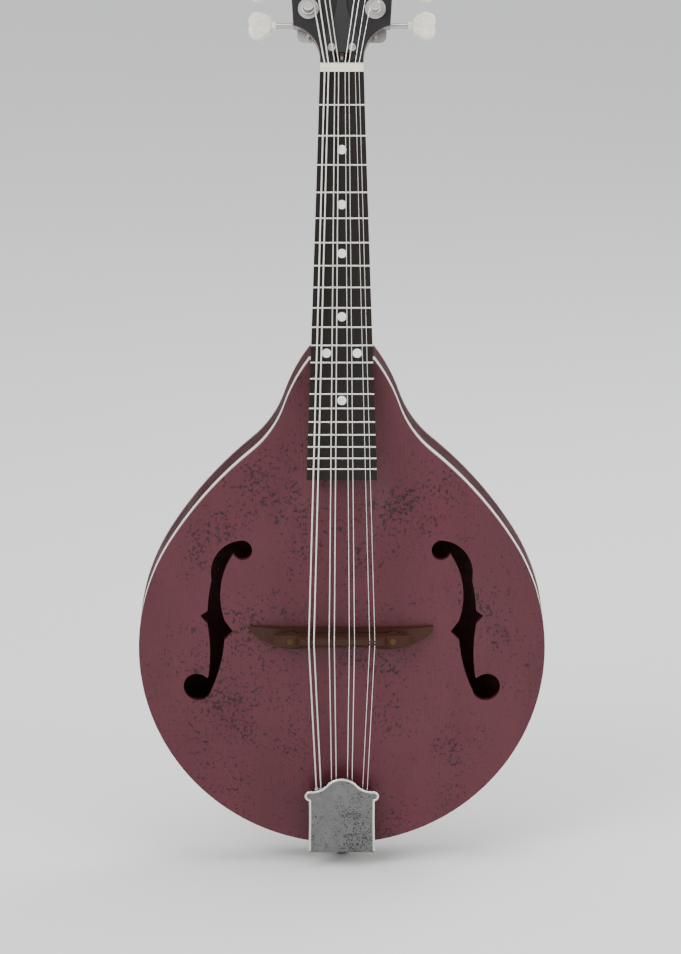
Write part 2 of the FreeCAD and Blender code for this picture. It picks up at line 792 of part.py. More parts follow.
def make_saddle():
    crest = CREST.y
    shoulder = SADDLE_BACK - 4.2
    top = crest - 0.3
    steps = [
        (41.0, SADDLE_BACK), (41.0, shoulder + 1.5), (39.5, shoulder), (27.5, shoulder), (25.0, top),
        (-25.0, top), (-27.5, shoulder), (-39.5, shoulder), (-41.0, shoulder + 1.5), (-41.0, SADDLE_BACK),
    ]
    ring = [Vector(x, y, BRIDGE_Z - 5) for x, y in steps]
    front = Part.Face(Part.makePolygon(ring + [ring[0]])).extrude(Vector(0, 0, 10))
    half_section = [(SADDLE_BACK, 4.0), (shoulder, 3.6), (top, 1.3)]
    section = half_section + [(y, -z) for y, z in reversed(half_section)]
    profile = [Vector(-45, y, BRIDGE_Z + z) for y, z in section]
    depth = Part.Face(Part.makePolygon(profile + [profile[0]])).extrude(Vector(90, 0, 0))
    saddle = front.common(depth)
    for side_x in (-1, 1):
        foot = Vector(side_x * size("post_reach"), -30, BRIDGE_Z)
        saddle = saddle.cut(rod(foot, foot + Vector(0, -30, 0), size("post_radius") + GAP))
    slots = all_string_channels()
    slots.translate(Vector(0, 0, -TAIL))
    feature("bridge_saddle", saddle.cut(slots), BODY)


def make_thumbwheels():
    """Knurled brass wheels that lift the saddle on the two threaded posts."""
    for label, side in (("thumbwheel_bass", -1), ("thumbwheel_treble", 1)):
        place = Placement(Vector(side * size("post_reach"), WHEEL_BACK, BRIDGE_Z + TAIL), Rotation())
        body = new_body(label, place)
        drawing = draw(body, "XZ_Plane", [Part.Circle(flat(0, 0), Z_AXIS, size("wheel_radius")),
                                          Part.Circle(flat(0, 0), Z_AXIS, size("post_radius") + GAP)], "0 mm")
        disc = body.newObject("PartDesign::Pad", "Pad")
        disc.Profile = drawing
        disc.setExpression("Length", "Sizes.wheel_thickness")
        radius = size("wheel_radius")
        groove = [(radius - 0.5, 0), (radius + 1, 0.9), (radius + 1, -0.9)]
        notch = draw(body, "XZ_Plane", polygon(groove), "-1 mm")
        pocket = body.newObject("PartDesign::Pocket", "Pocket")
        pocket.Profile = notch
        pocket.Length = 10
        pocket.Reversed = True
        pattern = body.newObject("PartDesign::PolarPattern", "PolarPattern")
        pattern.Originals = [pocket]
        pattern.Axis = (drawing, ["N_Axis"])
        pattern.Angle = 360
        pattern.Occurrences = 24
        body.Tip = pattern
        keep(label, body)


# ---------------------------------------------------------------- tailpiece and strap pin


def make_tailpiece():
    half = 18
    radius = size("bout_radius")
    outer = rod(Vector(0, -EDGE - 1.2, radius), Vector(0, 15, radius), radius + 1)
    flange = outer.cut(rod(Vector(0, -60, radius), Vector(0, 40, radius), radius))
    flange = flange.common(block(-half, half, -EDGE - 1.2, 15, -5, 6))
    leg = block(-half, half, -1, 0, 0, 37)
    hooks = []
    for course in COURSES:
        for outward in (-1, 1):
            x = TAIL_CENTRE[course] + outward * TAIL_HALF_GAP
            hooks.append(rod(Vector(x, -0.5, 30.6), Vector(x, -6.2, 29.4), 0.75))
    leg = leg.fuse(hooks)
    leg.Placement = TAILPIECE
    leg.translate(Vector(0, 0, -TAIL))
    base = flange.fuse(leg)
    bores = [rod(Vector(0, 0, -6), Vector(0, 0, 19), PIN_BORE)]
    for point in tail_screw_points():
        bores.append(rod(point - Z_AXIS * 4, point + Z_AXIS * 9, SCREW_RADIUS))
    feature("tailpiece_base", base.cut(bores).removeSplitter(), BODY)
    screws = []
    for point in tail_screw_points():
        lift = radius - math.sqrt((radius + 1) ** 2 - (abs(point.x) - 2.4) ** 2)
        seat = Vector(point.x, point.y, lift)
        shank = rod(seat, point + Z_AXIS * SCREW_LENGTH, SCREW_RADIUS)
        screws.append(shank.fuse(wood_screw_head(seat, -Z_AXIS)))
    feature("tailpiece_screws", Part.makeCompound(screws), BODY)


def wood_screw_head(seat, outwards):
    """Round head with a flat seat and a straight slot."""
    head = Part.makeCylinder(2.3, 0.7, seat, outwards)
    dome = Part.makeCone(2.3, 1.3, 0.7, seat + outwards * 0.7, outwards)
    whole = head.fuse(dome)
    slot = Part.makeBox(6, 0.5, 0.7, Vector(-3, -0.25, 0.8))
    slot = slot.transformGeometry(Placement(seat, Rotation(Z_AXIS, outwards)).toMatrix())
    return whole.cut(slot)


def make_tail_cover():
    """The stamped cover over the string hooks. It slides off along its own slope."""
    steps = [
        ((20.0, -1.0),),
        ((20.0, 34.6),),
        ((22.6, 37.2), (19.2, 40.2)),
        ((14.5, 41.0), (9.8, 44.0)),
        ((0.0, 49.0), (-9.8, 44.0)),
        ((-14.5, 41.0), (-19.2, 40.2)),
        ((-22.6, 37.2), (-20.0, 34.6)),
        ((-20.0, -1.0),),
    ]
    height, sheet_metal = size("cover_height"), size("cover_sheet")
    lid = front_prism(path(steps), -height, -height + sheet_metal)
    inside = block(-20 + sheet_metal, 20 - sheet_metal, -20, 20, -5, 60)
    skirt = block(-20, 20, -height, -0.3, -1, 38).cut(inside)
    lip = block(-20, 20, -height, -height + 2.2, -1, -1 + sheet_metal)
    cover = lid.fuse([skirt, lip]).removeSplitter()
    corners = [edge for edge in cover.Edges
               if abs(edge.CenterOfMass.y + height) < 0.01 and abs(abs(edge.CenterOfMass.x) - 20) < 0.05]
    feature("tailpiece_cover", cover.makeFillet(0.7, corners), TAILPIECE)


def make_end_pin():
    head = size("pin_head") / 2
    radius = size("pin_radius")
    points = [
        (0, -head - 1.4), (radius - 2.2, -head - 1.4), (radius, -head), (radius, head), (3.4, head + 1.2),
        (3.4, TAIL - 3.2), (6.5, TAIL - 2.4), (6.5, TAIL - 1), (PIN_BORE, TAIL - 1), (PIN_BORE, TAIL + 19),
        (0, TAIL + 19),
    ]
    keep("end_pin", revolved("end_pin", points, Placement(Vector(0, 0, 0), Rotation(X_AXIS, 90))))


# ---------------------------------------------------------------- tuners


def gear_level():
    """How far behind the headstock's front the gears and worms lie."""
    return size("head_thickness") + size("tuner_plate") + 3.3


def gear_outline(radius, teeth, tooth_half):
    """Closed polygon of a small gear wheel: tip radius, root radius and tooth width at each."""
    root, tip = radius - 0.7, radius + 0.5
    points = []
    for tooth in range(teeth):
        middle = 2 * math.pi * tooth / teeth
        for at, half in ((root, 1.5 * tooth_half), (tip, 0.62 * tooth_half)):
            points.append((at, middle - half / at))
        for at, half in ((tip, 0.62 * tooth_half), (root, 1.5 * tooth_half)):
            points.append((at, middle + half / at))
    return [(at * math.cos(angle), at * math.sin(angle)) for at, angle in points]


WORM_LENGTH = 8.2
THREAD_DEPTH = 0.65
SHAFT_FROM = -6.5
SHAFT_LENGTH = 40


def worm_solid():
    """Right-hand worm on its shaft, along +X, one turn of thread to each gear tooth."""
    pitch = 2 * math.pi * size("gear_radius") / size("gear_teeth")
    core = size("worm_radius") - THREAD_DEPTH
    crest = size("worm_radius") + 0.5
    helix = Part.makeHelix(pitch, 4 * pitch, core)
    half_root, half_crest = 0.52, 0.24
    section = Part.makePolygon([
        Vector(core - 0.2, 0, -half_root), Vector(crest, 0, -half_crest), Vector(crest, 0, half_crest),
        Vector(core - 0.2, 0, half_root), Vector(core - 0.2, 0, -half_root),
    ])
    thread = Part.Wire(helix.Edges).makePipeShell([section], True, True)
    shaft = Part.makeCylinder(core, SHAFT_LENGTH, Vector(0, 0, SHAFT_FROM), Z_AXIS)
    thread.translate(Vector(0, 0, -2 * pitch))
    worm = thread.common(Part.makeCylinder(crest + 1, WORM_LENGTH, Vector(0, 0, -WORM_LENGTH / 2), Z_AXIS))
    whole = shaft.fuse(worm)
    whole.rotate(Vector(0, 0, 0), Y_AXIS, 90)
    return whole


def make_tuners():
    worm = worm_solid()
    level = gear_level()
    for course, number, x, z in post_places():
        side = 1 if x > 0 else -1
        name = "%s%d" % (course, number)
        shaft = worm.copy()
        button = button_solid()
        if side < 0:
            shaft = shaft.mirror(Vector(0, 0, 0), X_AXIS)
            button = button.mirror(Vector(0, 0, 0), X_AXIS)
        axis = HEAD.multiply(Placement(Vector(x, level, z - size("centre_distance")), Rotation()))
        feature("tuner_shaft_" + name, shaft, axis)
        feature("tuner_button_" + name, button, axis)
        stand = HEAD.multiply(Placement(Vector(x, 0, z), Rotation()))
        feature("string_post_" + name, post_solid(level), stand)


def button_solid():
    """Kidney-shaped finger button with a short ferrule, on the worm shaft's outer end."""
    outline = path([
        ((0.0, -2.6),),
        ((1.6, -5.4), (5.2, -7.4)),
        ((13.8, -6.2), (14.6, 0.0)),
        ((13.8, 6.2), (5.2, 7.4)),
        ((1.6, 5.4), (0.0, 2.6)),
    ])
    plate = front_prism(outline, -2.7, 2.7)
    rims = [edge for edge in plate.Edges if abs(abs(edge.CenterOfMass.y) - 2.7) < 0.01]
    plate = plate.makeFillet(2.2, rims)
    plate.translate(Vector(21.5, 0, 0))
    collar = Part.makeCylinder(2.7, 2.5, Vector(19.6, 0, 0), X_AXIS)
    core = size("worm_radius") - THREAD_DEPTH
    return plate.fuse(collar).cut(Part.makeCylinder(core, 60, Vector(-10, 0, 0), X_AXIS))


def post_solid(level):
    """String post with its gear wheel and the small screw that holds the wheel on."""
    profile = [
        (0, -16.5), (2.4, -16.5), (3.0, -15.8), (3.0, -10.2), (2.6, -9.4), (2.6, -4.6), (3.0, -3.8),
        (3.0, 8.6), (2.5, 8.6), (2.5, level - 2.0), (1.6, level - 2.0), (1.6, level + 2.0), (0, level + 2.0),
    ]
    ring = [Vector(r, y, 0) for r, y in profile]
    post = Part.Face(Part.makePolygon(ring + [ring[0]])).revolve(Vector(0, 0, 0), Y_AXIS, 360)
    post = post.cut(rod(Vector(-5, -6.8, 0), Vector(5, -6.8, 0), 0.7))
    wheel = front_prism(polygon(gear_outline(size("gear_radius"), int(size("gear_teeth")), 0.30)),
                        level - 2.0, level + 2.0)
    wheel.rotate(Vector(0, 0, 0), Y_AXIS, 90)
    wheel = wheel.cut(rod(Vector(0, level - 5, 0), Vector(0, level + 5, 0), 1.6))
    screw = wood_screw_head(Vector(0, level + 2.0, 0), Y_AXIS)
    return Part.makeCompound([post, wheel, screw])


def make_tuner_plates():
    depth = size("head_thickness")
    level = gear_level()
    low = size("first_post") - 18
    high = size("first_post") + 3 * size("post_pitch") + 17
    for label, side in (("tuner_plate_bass", -1), ("tuner_plate_treble", 1)):
        plate = block(-6.8, 6.8, depth, depth + size("tuner_plate"), low, high)
        corners = [edge for edge in plate.Edges if abs(edge.CenterOfMass.y - depth - 0.6) < 0.01]
        plate = plate.makeFillet(4, corners)
        lugs = []
        bores = []
        for index in range(4):
            z = size("first_post") + index * size("post_pitch")
            bores.append(rod(Vector(0, depth - 1, z), Vector(0, depth + 3, z), 2.5 + GAP))
            axis = z - size("centre_distance")
            for x in (-6.3, 4.6):
                lugs.append(block(x, x + 1.7, depth, level + 2.9, axis - 2.9, axis + 2.9))
            journal = size("worm_radius") - THREAD_DEPTH + GAP
            bores.append(rod(Vector(-9, level, axis), Vector(9, level, axis), journal))
        for x, z in head_screw_places():
            if x > 0:
                bores.append(rod(Vector(0, depth - 1, z), Vector(0, depth + 3, z), SCREW_RADIUS))
        plate = plate.fuse(lugs).cut(bores)
        feature(label, plate, HEAD.multiply(Placement(Vector(side * size("post_side"), 0, 0), Rotation())))


def make_head_hardware():
    bushings = []
    face = -size("overlay_thickness")
    for _, _, x, z in post_places():
        sleeve = rod(Vector(x, 8, z), Vector(x, face, z), 4.5)
        flange = rod(Vector(x, face, z), Vector(x, face - 1, z), 6.2)
        bore = rod(Vector(x, 12, z), Vector(x, -5, z), 3.0 + GAP)
        bushings.append(sleeve.fuse(flange).cut(bore))
    feature("post_bushings", Part.makeCompound(bushings), HEAD)
    screws = []
    back = size("head_thickness") + size("tuner_plate")
    for x, z in head_screw_places():
        seat = Vector(x, back, z)
        shank = rod(seat, seat - Y_AXIS * SCREW_LENGTH, SCREW_RADIUS)
        screws.append(shank.fuse(wood_screw_head(seat, Y_AXIS)))
    front = face - COVER_THICKNESS
    for x, z in COVER_SCREWS:
        seat = Vector(x, front, z)
        screws.append(rod(seat, seat + Y_AXIS * 9.3, SCREW_RADIUS).fuse(wood_screw_head(seat, -Y_AXIS)))
    feature("headstock_screws", Part.makeCompound(screws), HEAD)


# ---------------------------------------------------------------- build and write


def check(item):
    problems = [word for word in item.State if word in ("Invalid", "Error")]
    if problems:
        raise RuntimeError("%s failed: %s" % (item.Label, problems))


def main():
    make_plates()
    make_rim()
    make_blocks()
    make_tone_bars()
    make_neck()
    make_overlay()
    make_truss_rod()
    make_fretboard()
    make_strings()
    make_nut()
    make_bridge()
    make_tailpiece()
    make_tail_cover()
    make_end_pin()
    make_tuners()
    make_tuner_plates()
    make_head_hardware()
    doc.recompute()
    for item in doc.Objects:
        check(item)
    os.makedirs("parts", exist_ok=True)
    for label, item in nodes.items():
        shape = item.Shape
        if shape.isNull() or not shape.isValid():
            raise RuntimeError("%s has no valid shape" % label)
        shape.exportStep("parts/%s.step" % label)
        print("%-22s %d solids %10.1f mm3" % (label, len(shape.Solids), shape.Volume))
    print(len(nodes), "nodes")


main()
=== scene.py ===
"""Looks of a carved-top, teardrop-shaped mandolin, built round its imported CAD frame.

The instrument stands upright: +Z runs up the neck, the soundboard faces -Y and the bass strings are
on the -X side. Everything is in metres.
"""

import cmath
import json
import logging
import math
from dataclasses import dataclass
from enum import Enum

import bmesh
import bpy
from mathutils import Matrix, Vector

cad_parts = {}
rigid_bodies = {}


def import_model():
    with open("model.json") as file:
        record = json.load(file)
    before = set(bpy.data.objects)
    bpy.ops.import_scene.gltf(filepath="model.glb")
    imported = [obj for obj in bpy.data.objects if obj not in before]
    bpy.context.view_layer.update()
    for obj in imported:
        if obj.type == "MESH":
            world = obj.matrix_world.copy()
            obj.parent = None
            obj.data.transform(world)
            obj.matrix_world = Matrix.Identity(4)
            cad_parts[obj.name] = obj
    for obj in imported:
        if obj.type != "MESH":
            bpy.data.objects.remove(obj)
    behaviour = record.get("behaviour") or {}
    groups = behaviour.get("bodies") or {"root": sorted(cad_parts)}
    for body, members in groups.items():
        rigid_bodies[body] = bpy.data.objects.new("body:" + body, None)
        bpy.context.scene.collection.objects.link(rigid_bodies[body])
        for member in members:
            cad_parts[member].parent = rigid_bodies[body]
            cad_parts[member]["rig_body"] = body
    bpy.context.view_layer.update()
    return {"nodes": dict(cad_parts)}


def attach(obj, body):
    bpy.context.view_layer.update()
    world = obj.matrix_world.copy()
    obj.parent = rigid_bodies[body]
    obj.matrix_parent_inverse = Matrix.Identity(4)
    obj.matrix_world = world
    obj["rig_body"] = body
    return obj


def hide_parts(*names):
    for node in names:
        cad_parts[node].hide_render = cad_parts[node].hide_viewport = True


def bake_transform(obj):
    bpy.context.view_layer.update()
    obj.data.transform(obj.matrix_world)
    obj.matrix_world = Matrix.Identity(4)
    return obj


log = logging.getLogger("mandolin")
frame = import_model()

MM = 0.001
FULL_TURN = 6.2832
ROOT = "instrument"

Socket = bpy.types.NodeSocket
Tree = bpy.types.NodeTree
Node = bpy.types.Node
Piece = bpy.types.Object
Material = bpy.types.Material
Triple = tuple[float, float, float]
Colour = Triple


# ---------- shader graph


class Graph:
    """Adds and joins nodes of one shader or geometry tree in short calls."""

    def __init__(self, tree: Tree) -> None:
        """Work on a tree.

        Args:
            tree: the node tree to add to.
        """
        self.tree = tree

    def add(self, kind: str, **settings: object) -> Node:
        """Add a node.

        Args:
            kind: the node's type name.
            settings: properties of the node, set by name.

        Returns:
            The new node.
        """
        node = self.tree.nodes.new(kind)
        for name, value in settings.items():
            setattr(node, name, value)
        return node

    def feed(self, node: Node, **inputs: object) -> Node:
        """Set or link a node's inputs.

        Args:
            node: the node to feed.
            inputs: socket names with _ for a space, or i0, i1 for a socket's number. A socket as a
                value is linked, and anything else is set.

        Returns:
            The same node.
        """
        for name, value in inputs.items():
            numbered = name[0] == "i" and name[1:].isdigit()
            key = int(name[1:]) if numbered else name.replace("_", " ")
            socket = node.inputs[key]
            if isinstance(value, Socket):
                self.tree.links.new(value, socket)
            else:
                socket.default_value = value
        return node

    def fed(self, kind: str, **inputs: object) -> Node:
        """Add a node and feed it."""
        return self.feed(self.add(kind), **inputs)

    def math(self, operation: str, first: object, second: object = 0.0) -> Socket:
        """A Math node's result from two sockets or numbers."""
        node = self.add("ShaderNodeMath", operation=operation)
        return self.feed(node, i0=first, i1=second).outputs[0]

    def times(self, first: object, second: object) -> Socket:
        """The product of two sockets or numbers."""
        return self.math("MULTIPLY", first, second)

    def plus(self, first: object, second: object) -> Socket:
        """The sum of two sockets or numbers."""
        return self.math("ADD", first, second)

    def minus(self, first: object, second: object) -> Socket:
        """The first socket or number less the second."""
        return self.math("SUBTRACT", first, second)

    def over(self, first: object, second: object) -> Socket:
        """The first socket or number divided by the second."""
        return self.math("DIVIDE", first, second)

    def parts(self, vector: object) -> bpy.types.NodeOutputs:
        """A vector's X, Y and Z."""
        return self.fed("ShaderNodeSeparateXYZ", i0=vector).outputs

    def wave(self, along: object, spacing: object, offset: object = 0.0) -> Socket:
        """A sine of a distance, which repeats at a spacing."""
        return self.math("SINE", self.plus(self.times(self.over(along, spacing), FULL_TURN), offset))

    def send(self, value: Socket, target: Socket) -> None:
        """Link a result to an output's socket."""
        self.tree.links.new(value, target)

    def span(self, value: object, low: float, high: float, out_low: float, out_high: float) -> Socket:
        """Map a range of a value to another range, held at both ends."""
        node = self.fed(
            "ShaderNodeMapRange", Value=value, From_Min=low, From_Max=high, To_Min=out_low, To_Max=out_high
        )
        return node.outputs["Result"]

    def mix(self, factor: object, first: object, second: object) -> Socket:
        """A colour mix of two sockets or colours."""
        node = self.add("ShaderNodeMix", data_type="RGBA")
        self.feed(node, i0=factor, i6=first, i7=second)
        return node.outputs[2]

    def noise(
        self, vector: object, scale: object, detail: float = 3.0, roughness: float = 0.5,
        distortion: float = 0.0,
    ) -> Socket:
        """A noise texture's value."""
        node = self.fed("ShaderNodeTexNoise", Vector=vector, Scale=scale, Detail=detail)
        self.feed(node, Roughness=roughness, Distortion=distortion)
        return node.outputs["Fac"]

    def stretch(self, vector: object, scale: Triple, turn: float = 0.0) -> Socket:
        """Scale and turn a vector, so that a pattern runs along the grain."""
        node = self.fed("ShaderNodeMapping", Vector=vector, Scale=scale, Rotation=(0.0, turn, 0.0))
        return node.outputs["Vector"]

    def group(self, tree: Tree, **inputs: object) -> bpy.types.NodeOutputs:
        """Place a shader node group, feed it and give its results."""
        return self.feed(self.add("ShaderNodeGroup", node_tree=tree), **inputs).outputs


def new_group(
    name: str, inputs: dict[str, float], outputs: tuple[str, ...],
) -> tuple[Graph, bpy.types.NodeOutputs, bpy.types.NodeInputs]:
    """Make an empty shader node group, with a Vector input before its own.

    Args:
        name: the group's name.
        inputs: each value input's name and default.
        outputs: the names of the values that it gives.

    Returns:
        The group's graph, its input sockets and its output node's sockets.
    """
    tree = bpy.data.node_groups.new(name, "ShaderNodeTree")
    tree.interface.new_socket("Vector", in_out="INPUT", socket_type="NodeSocketVector")
    for label, default in inputs.items():
        socket = tree.interface.new_socket(label, in_out="INPUT", socket_type="NodeSocketFloat")
        socket.default_value = default
    for label in outputs:
        tree.interface.new_socket(label, in_out="OUTPUT", socket_type="NodeSocketFloat")
    graph = Graph(tree)
    return graph, graph.add("NodeGroupInput").outputs, graph.add("NodeGroupOutput").inputs


class Effects:
    """The shared effects, as shader node groups that every material places with its own values."""

    def __init__(self) -> None:
        """Build each group once."""
        self.grain = self._grain()
        self.figure = self._figure()
        self.handling = self._handling()
        self.brushing = self._brushing()

    def _grain(self) -> Tree:
        """Growth lines and pores of wood that runs along Z."""
        graph, given, out = new_group(
            "wood_grain", {"Line Spacing": 0.0012, "Waviness": 0.3}, ("Lines", "Pores", "Tone")
        )
        vector = given["Vector"]
        slow = graph.noise(graph.stretch(vector, (9.0, 9.0, 1.4)), 3.0, 2.0)
        side = graph.parts(vector)
        drift = graph.times(graph.times(slow, given["Waviness"]), 0.05)
        across = graph.plus(side["X"], graph.plus(drift, graph.times(side["Y"], 0.35)))
        uneven = graph.noise(graph.stretch(vector, (1.0, 1.0, 0.08)), 240.0, 2.0)
        rings = graph.wave(across, given["Line Spacing"], graph.times(uneven, 5.0))
        graph.send(graph.span(rings, -0.2, 1.0, 0.0, 1.0), out["Lines"])
        pores = graph.noise(graph.stretch(vector, (1.0, 1.0, 0.035)), 2600.0, 1.0, 0.4)
        graph.send(graph.span(pores, 0.56, 0.72, 0.0, 1.0), out["Pores"])
        graph.send(graph.noise(graph.stretch(vector, (1.0, 1.0, 0.25)), 30.0, 4.0, 0.6), out["Tone"])
        return graph.tree

    def _figure(self) -> Tree:
        """Curly figure of maple: soft bands across the grain."""
        graph, given, out = new_group("curly_figure", {"Band Spacing": 0.009}, ("Bands",))
        bend = graph.noise(given["Vector"], 22.0, 3.0, 0.55)
        along = graph.plus(graph.parts(given["Vector"])["Z"], graph.times(bend, 0.022))
        curl = graph.span(graph.wave(along, given["Band Spacing"]), -1.0, 1.0, 0.0, 1.0)
        patch = graph.span(graph.noise(given["Vector"], 60.0, 2.0), 0.35, 0.65, 0.15, 1.0)
        graph.send(graph.times(curl, patch), out["Bands"])
        return graph.tree

    def _handling(self) -> Tree:
        """Specks, fine scratches and dull patches left by years of playing."""
        graph, given, out = new_group(
            "handling_marks", {"Speck Scale": 640.0, "Speck Amount": 0.5}, ("Specks", "Scratches", "Dullness")
        )
        vector = given["Vector"]
        cells = graph.noise(vector, given["Speck Scale"], 5.0, 0.75)
        patches = graph.span(graph.noise(vector, 26.0, 3.0, 0.6), 0.3, 0.75, 0.07, 0.17)
        level = graph.minus(0.78, graph.times(given["Speck Amount"], patches))
        graph.send(graph.span(graph.minus(cells, level), 0.0, 0.035, 0.0, 1.0), out["Specks"])
        thin = graph.noise(graph.stretch(vector, (1.0, 1.0, 0.02), 0.5), 1500.0, 0.0)
        crossed = graph.noise(graph.stretch(vector, (0.03, 1.0, 1.0), 0.3), 1300.0, 0.0)
        thin = graph.span(thin, 0.69, 0.74, 0.0, 1.0)
        crossed = graph.span(crossed, 0.70, 0.75, 0.0, 1.0)
        graph.send(graph.math("MAXIMUM", thin, crossed), out["Scratches"])
        dull = graph.span(graph.noise(vector, 45.0, 4.0, 0.65), 0.3, 0.7, 0.0, 1.0)
        graph.send(dull, out["Dullness"])
        return graph.tree

    def _brushing(self) -> Tree:
        """Polishing lines and cloudy tarnish of plated metal."""
        graph, given, out = new_group("metal_polish", {"Line Scale": 2500.0}, ("Lines", "Tarnish"))
        lines = graph.stretch(given["Vector"], (1.0, 1.0, 0.05))
        graph.send(graph.noise(lines, given["Line Scale"], 2.0), out["Lines"])
        cloud = graph.noise(given["Vector"], 150.0, 5.0, 0.7)
        graph.send(graph.span(cloud, 0.45, 0.75, 0.0, 1.0), out["Tarnish"])
        return graph.tree


# ---------- finishes


@dataclass(frozen=True)
class Surface:
    """What every finish has: a name and the plain numbers of its shader."""

    name: str
    colour: Colour
    roughness: float = 0.4
    coat: float = 0.0
    coat_roughness: float = 0.1
    metallic: float = 0.0
    specular: float = 0.5

    def start(self) -> tuple[Material, Graph, Node, Socket]:
        """Make the material.

        Returns:
            The material, its graph, its shader and the Object coordinates.
        """
        material = bpy.data.materials.new(self.name)
        material.use_nodes = True
        graph = Graph(material.node_tree)
        shader = material.node_tree.nodes["Principled BSDF"]
        graph.feed(shader, Base_Color=(*self.colour, 1.0), Roughness=self.roughness, Metallic=self.metallic)
        graph.feed(shader, Coat_Weight=self.coat, Coat_Roughness=self.coat_roughness)
        graph.feed(shader, Specular_IOR_Level=self.specular)
        place = graph.add("ShaderNodeTexCoord").outputs["Object"]
        return material, graph, shader, place


def bump(graph: Graph, height: object, depth: float) -> Socket:
    """The normal from a Bump node of a given depth in metres."""
    return graph.fed("ShaderNodeBump", Strength=1.0, Distance=depth, Height=height).outputs["Normal"]


def shade(colour: Colour, factor: float) -> tuple[float, float, float, float]:
    """A lighter or darker version of a colour, with full alpha."""
    return tuple(min(1.0, c * factor) for c in colour) + (1.0,)


@dataclass(frozen=True)
class Wood(Surface):
    """Stained or bare wood with grain lines, pores, marks of use, and lacquer over it."""

    line_spacing: float = 0.0012
    line_strength: float = 0.35
    pore_strength: float = 0.3
    figure_strength: float = 0.0
    figure_spacing: float = 0.009
    speck_amount: float = 0.4
    speck_scale: float = 640.0
    grain_turn: Triple = (0.0, 0.0, 0.0)

    def build(self, effects: Effects) -> Material:
        """Build the material.

        Args:
            effects: the shared node groups.

        Returns:
            The finished material.
        """
        material, graph, shader, place = self.start()
        place = graph.fed("ShaderNodeMapping", Vector=place, Rotation=self.grain_turn).outputs["Vector"]
        grain = graph.group(effects.grain, Vector=place, Line_Spacing=self.line_spacing)
        marks = graph.group(
            effects.handling, Vector=place, Speck_Scale=self.speck_scale, Speck_Amount=self.speck_amount
        )
        tone = graph.span(grain["Tone"], 0.3, 0.7, 0.0, 1.0)
        base = graph.mix(tone, shade(self.colour, 0.86), shade(self.colour, 1.14))
        lines = graph.times(grain["Lines"], self.line_strength)
        base = graph.mix(lines, base, shade(self.colour, 0.55))
        if self.figure_strength > 0.0:
            curly = graph.group(effects.figure, Vector=place, Band_Spacing=self.figure_spacing)
            bands = graph.times(curly["Bands"], self.figure_strength)
            base = graph.mix(bands, base, shade(self.colour, 1.9))
        pores = graph.times(grain["Pores"], self.pore_strength)
        base = graph.mix(pores, base, shade(self.colour, 0.3))
        specks = graph.times(marks["Specks"], 0.85)
        base = graph.mix(specks, base, shade(self.colour, 0.1))
        if self.coat > 0.0:
            graph.feed(shader, Coat_Weight=graph.span(specks, 0.0, 1.0, self.coat, 0.0))
        rough = graph.span(marks["Dullness"], 0.0, 1.0, self.roughness * 0.8, self.roughness * 1.25)
        rough = graph.plus(rough, graph.times(marks["Scratches"], 0.12))
        height = graph.plus(graph.times(grain["Lines"], 0.4), graph.times(pores, -0.8))
        height = graph.minus(height, graph.times(marks["Scratches"], 0.25))
        height = graph.minus(height, graph.times(specks, 0.2))
        graph.feed(shader, Base_Color=base, Roughness=rough, Normal=bump(graph, height, 0.00005))
        return material


@dataclass(frozen=True)
class Metal(Surface):
    """Plated or bare metal with polishing lines and some tarnish."""

    tarnish: Colour = (0.2, 0.16, 0.1)
    tarnish_amount: float = 0.3
    line_depth: float = 0.000006

    def build(self, effects: Effects) -> Material:
        """Build the material.

        Args:
            effects: the shared node groups.

        Returns:
            The finished material.
        """
        material, graph, shader, place = self.start()
        polish = graph.group(effects.brushing, Vector=place)
        spots = graph.times(polish["Tarnish"], self.tarnish_amount)
        base = graph.mix(spots, (*self.colour, 1.0), (*self.tarnish, 1.0))
        rough = graph.plus(self.roughness, graph.times(spots, 0.3))
        fine = bump(graph, polish["Lines"], self.line_depth)
        graph.feed(shader, Base_Color=base, Roughness=rough, Normal=fine)
        return material


@dataclass(frozen=True)
class WoundWire(Surface):
    """A string's wrap wire: fine turns all along it, with a painted highlight on their crowns and painted
    shade between them.
    """

    pitch: float = 0.00032

    def build(self, effects: Effects) -> Material:
        """Build the material.

        Args:
            effects: the shared node groups.

        Returns:
            The finished material.
        """
        material, graph, shader, place = self.start()
        wave = graph.span(graph.wave(graph.parts(place)["Z"], self.pitch), -1.0, 1.0, 0.0, 1.0)
        polish = graph.group(effects.brushing, Vector=place)
        # Painted light: the colour runs from painted shade in the grooves to a painted highlight on the
        # crowns, on the same wave as the bump.
        base = graph.mix(wave, shade(self.colour, 0.55), shade(self.colour, 1.1))
        spots = graph.times(polish["Tarnish"], 0.25)
        base = graph.mix(spots, base, shade(self.colour, 0.35))
        graph.feed(shader, Base_Color=base, Normal=bump(graph, wave, 0.00004))
        return material


@dataclass(frozen=True)
class Swirled(Surface):
    """Pearl, pearloid, bone or celluloid: soft cloudy layers under a polished face."""

    second: Colour = (0.7, 0.7, 0.7)
    cloud_scale: float = 260.0
    contrast: float = 0.6
    dirt: float = 0.15

    def build(self, effects: Effects) -> Material:
        """Build the material.

        Args:
            effects: the shared node groups.

        Returns:
            The finished material.
        """
        material, graph, shader, place = self.start()
        swirls = graph.noise(place, self.cloud_scale, 4.0, 0.55, 1.6)
        cloud = graph.span(swirls, 0.35, 0.65, 0.0, self.contrast)
        base = graph.mix(cloud, (*self.colour, 1.0), (*self.second, 1.0))
        marks = graph.group(effects.handling, Vector=place, Speck_Amount=self.dirt)
        specks = graph.times(marks["Specks"], self.dirt * 2.0)
        base = graph.mix(specks, base, shade(self.colour, 0.25))
        rough = graph.span(marks["Dullness"], 0.0, 1.0, self.roughness * 0.8, self.roughness * 1.3)
        fine = bump(graph, marks["Scratches"], 0.000008)
        graph.feed(shader, Base_Color=base, Roughness=rough, Normal=fine)
        return material


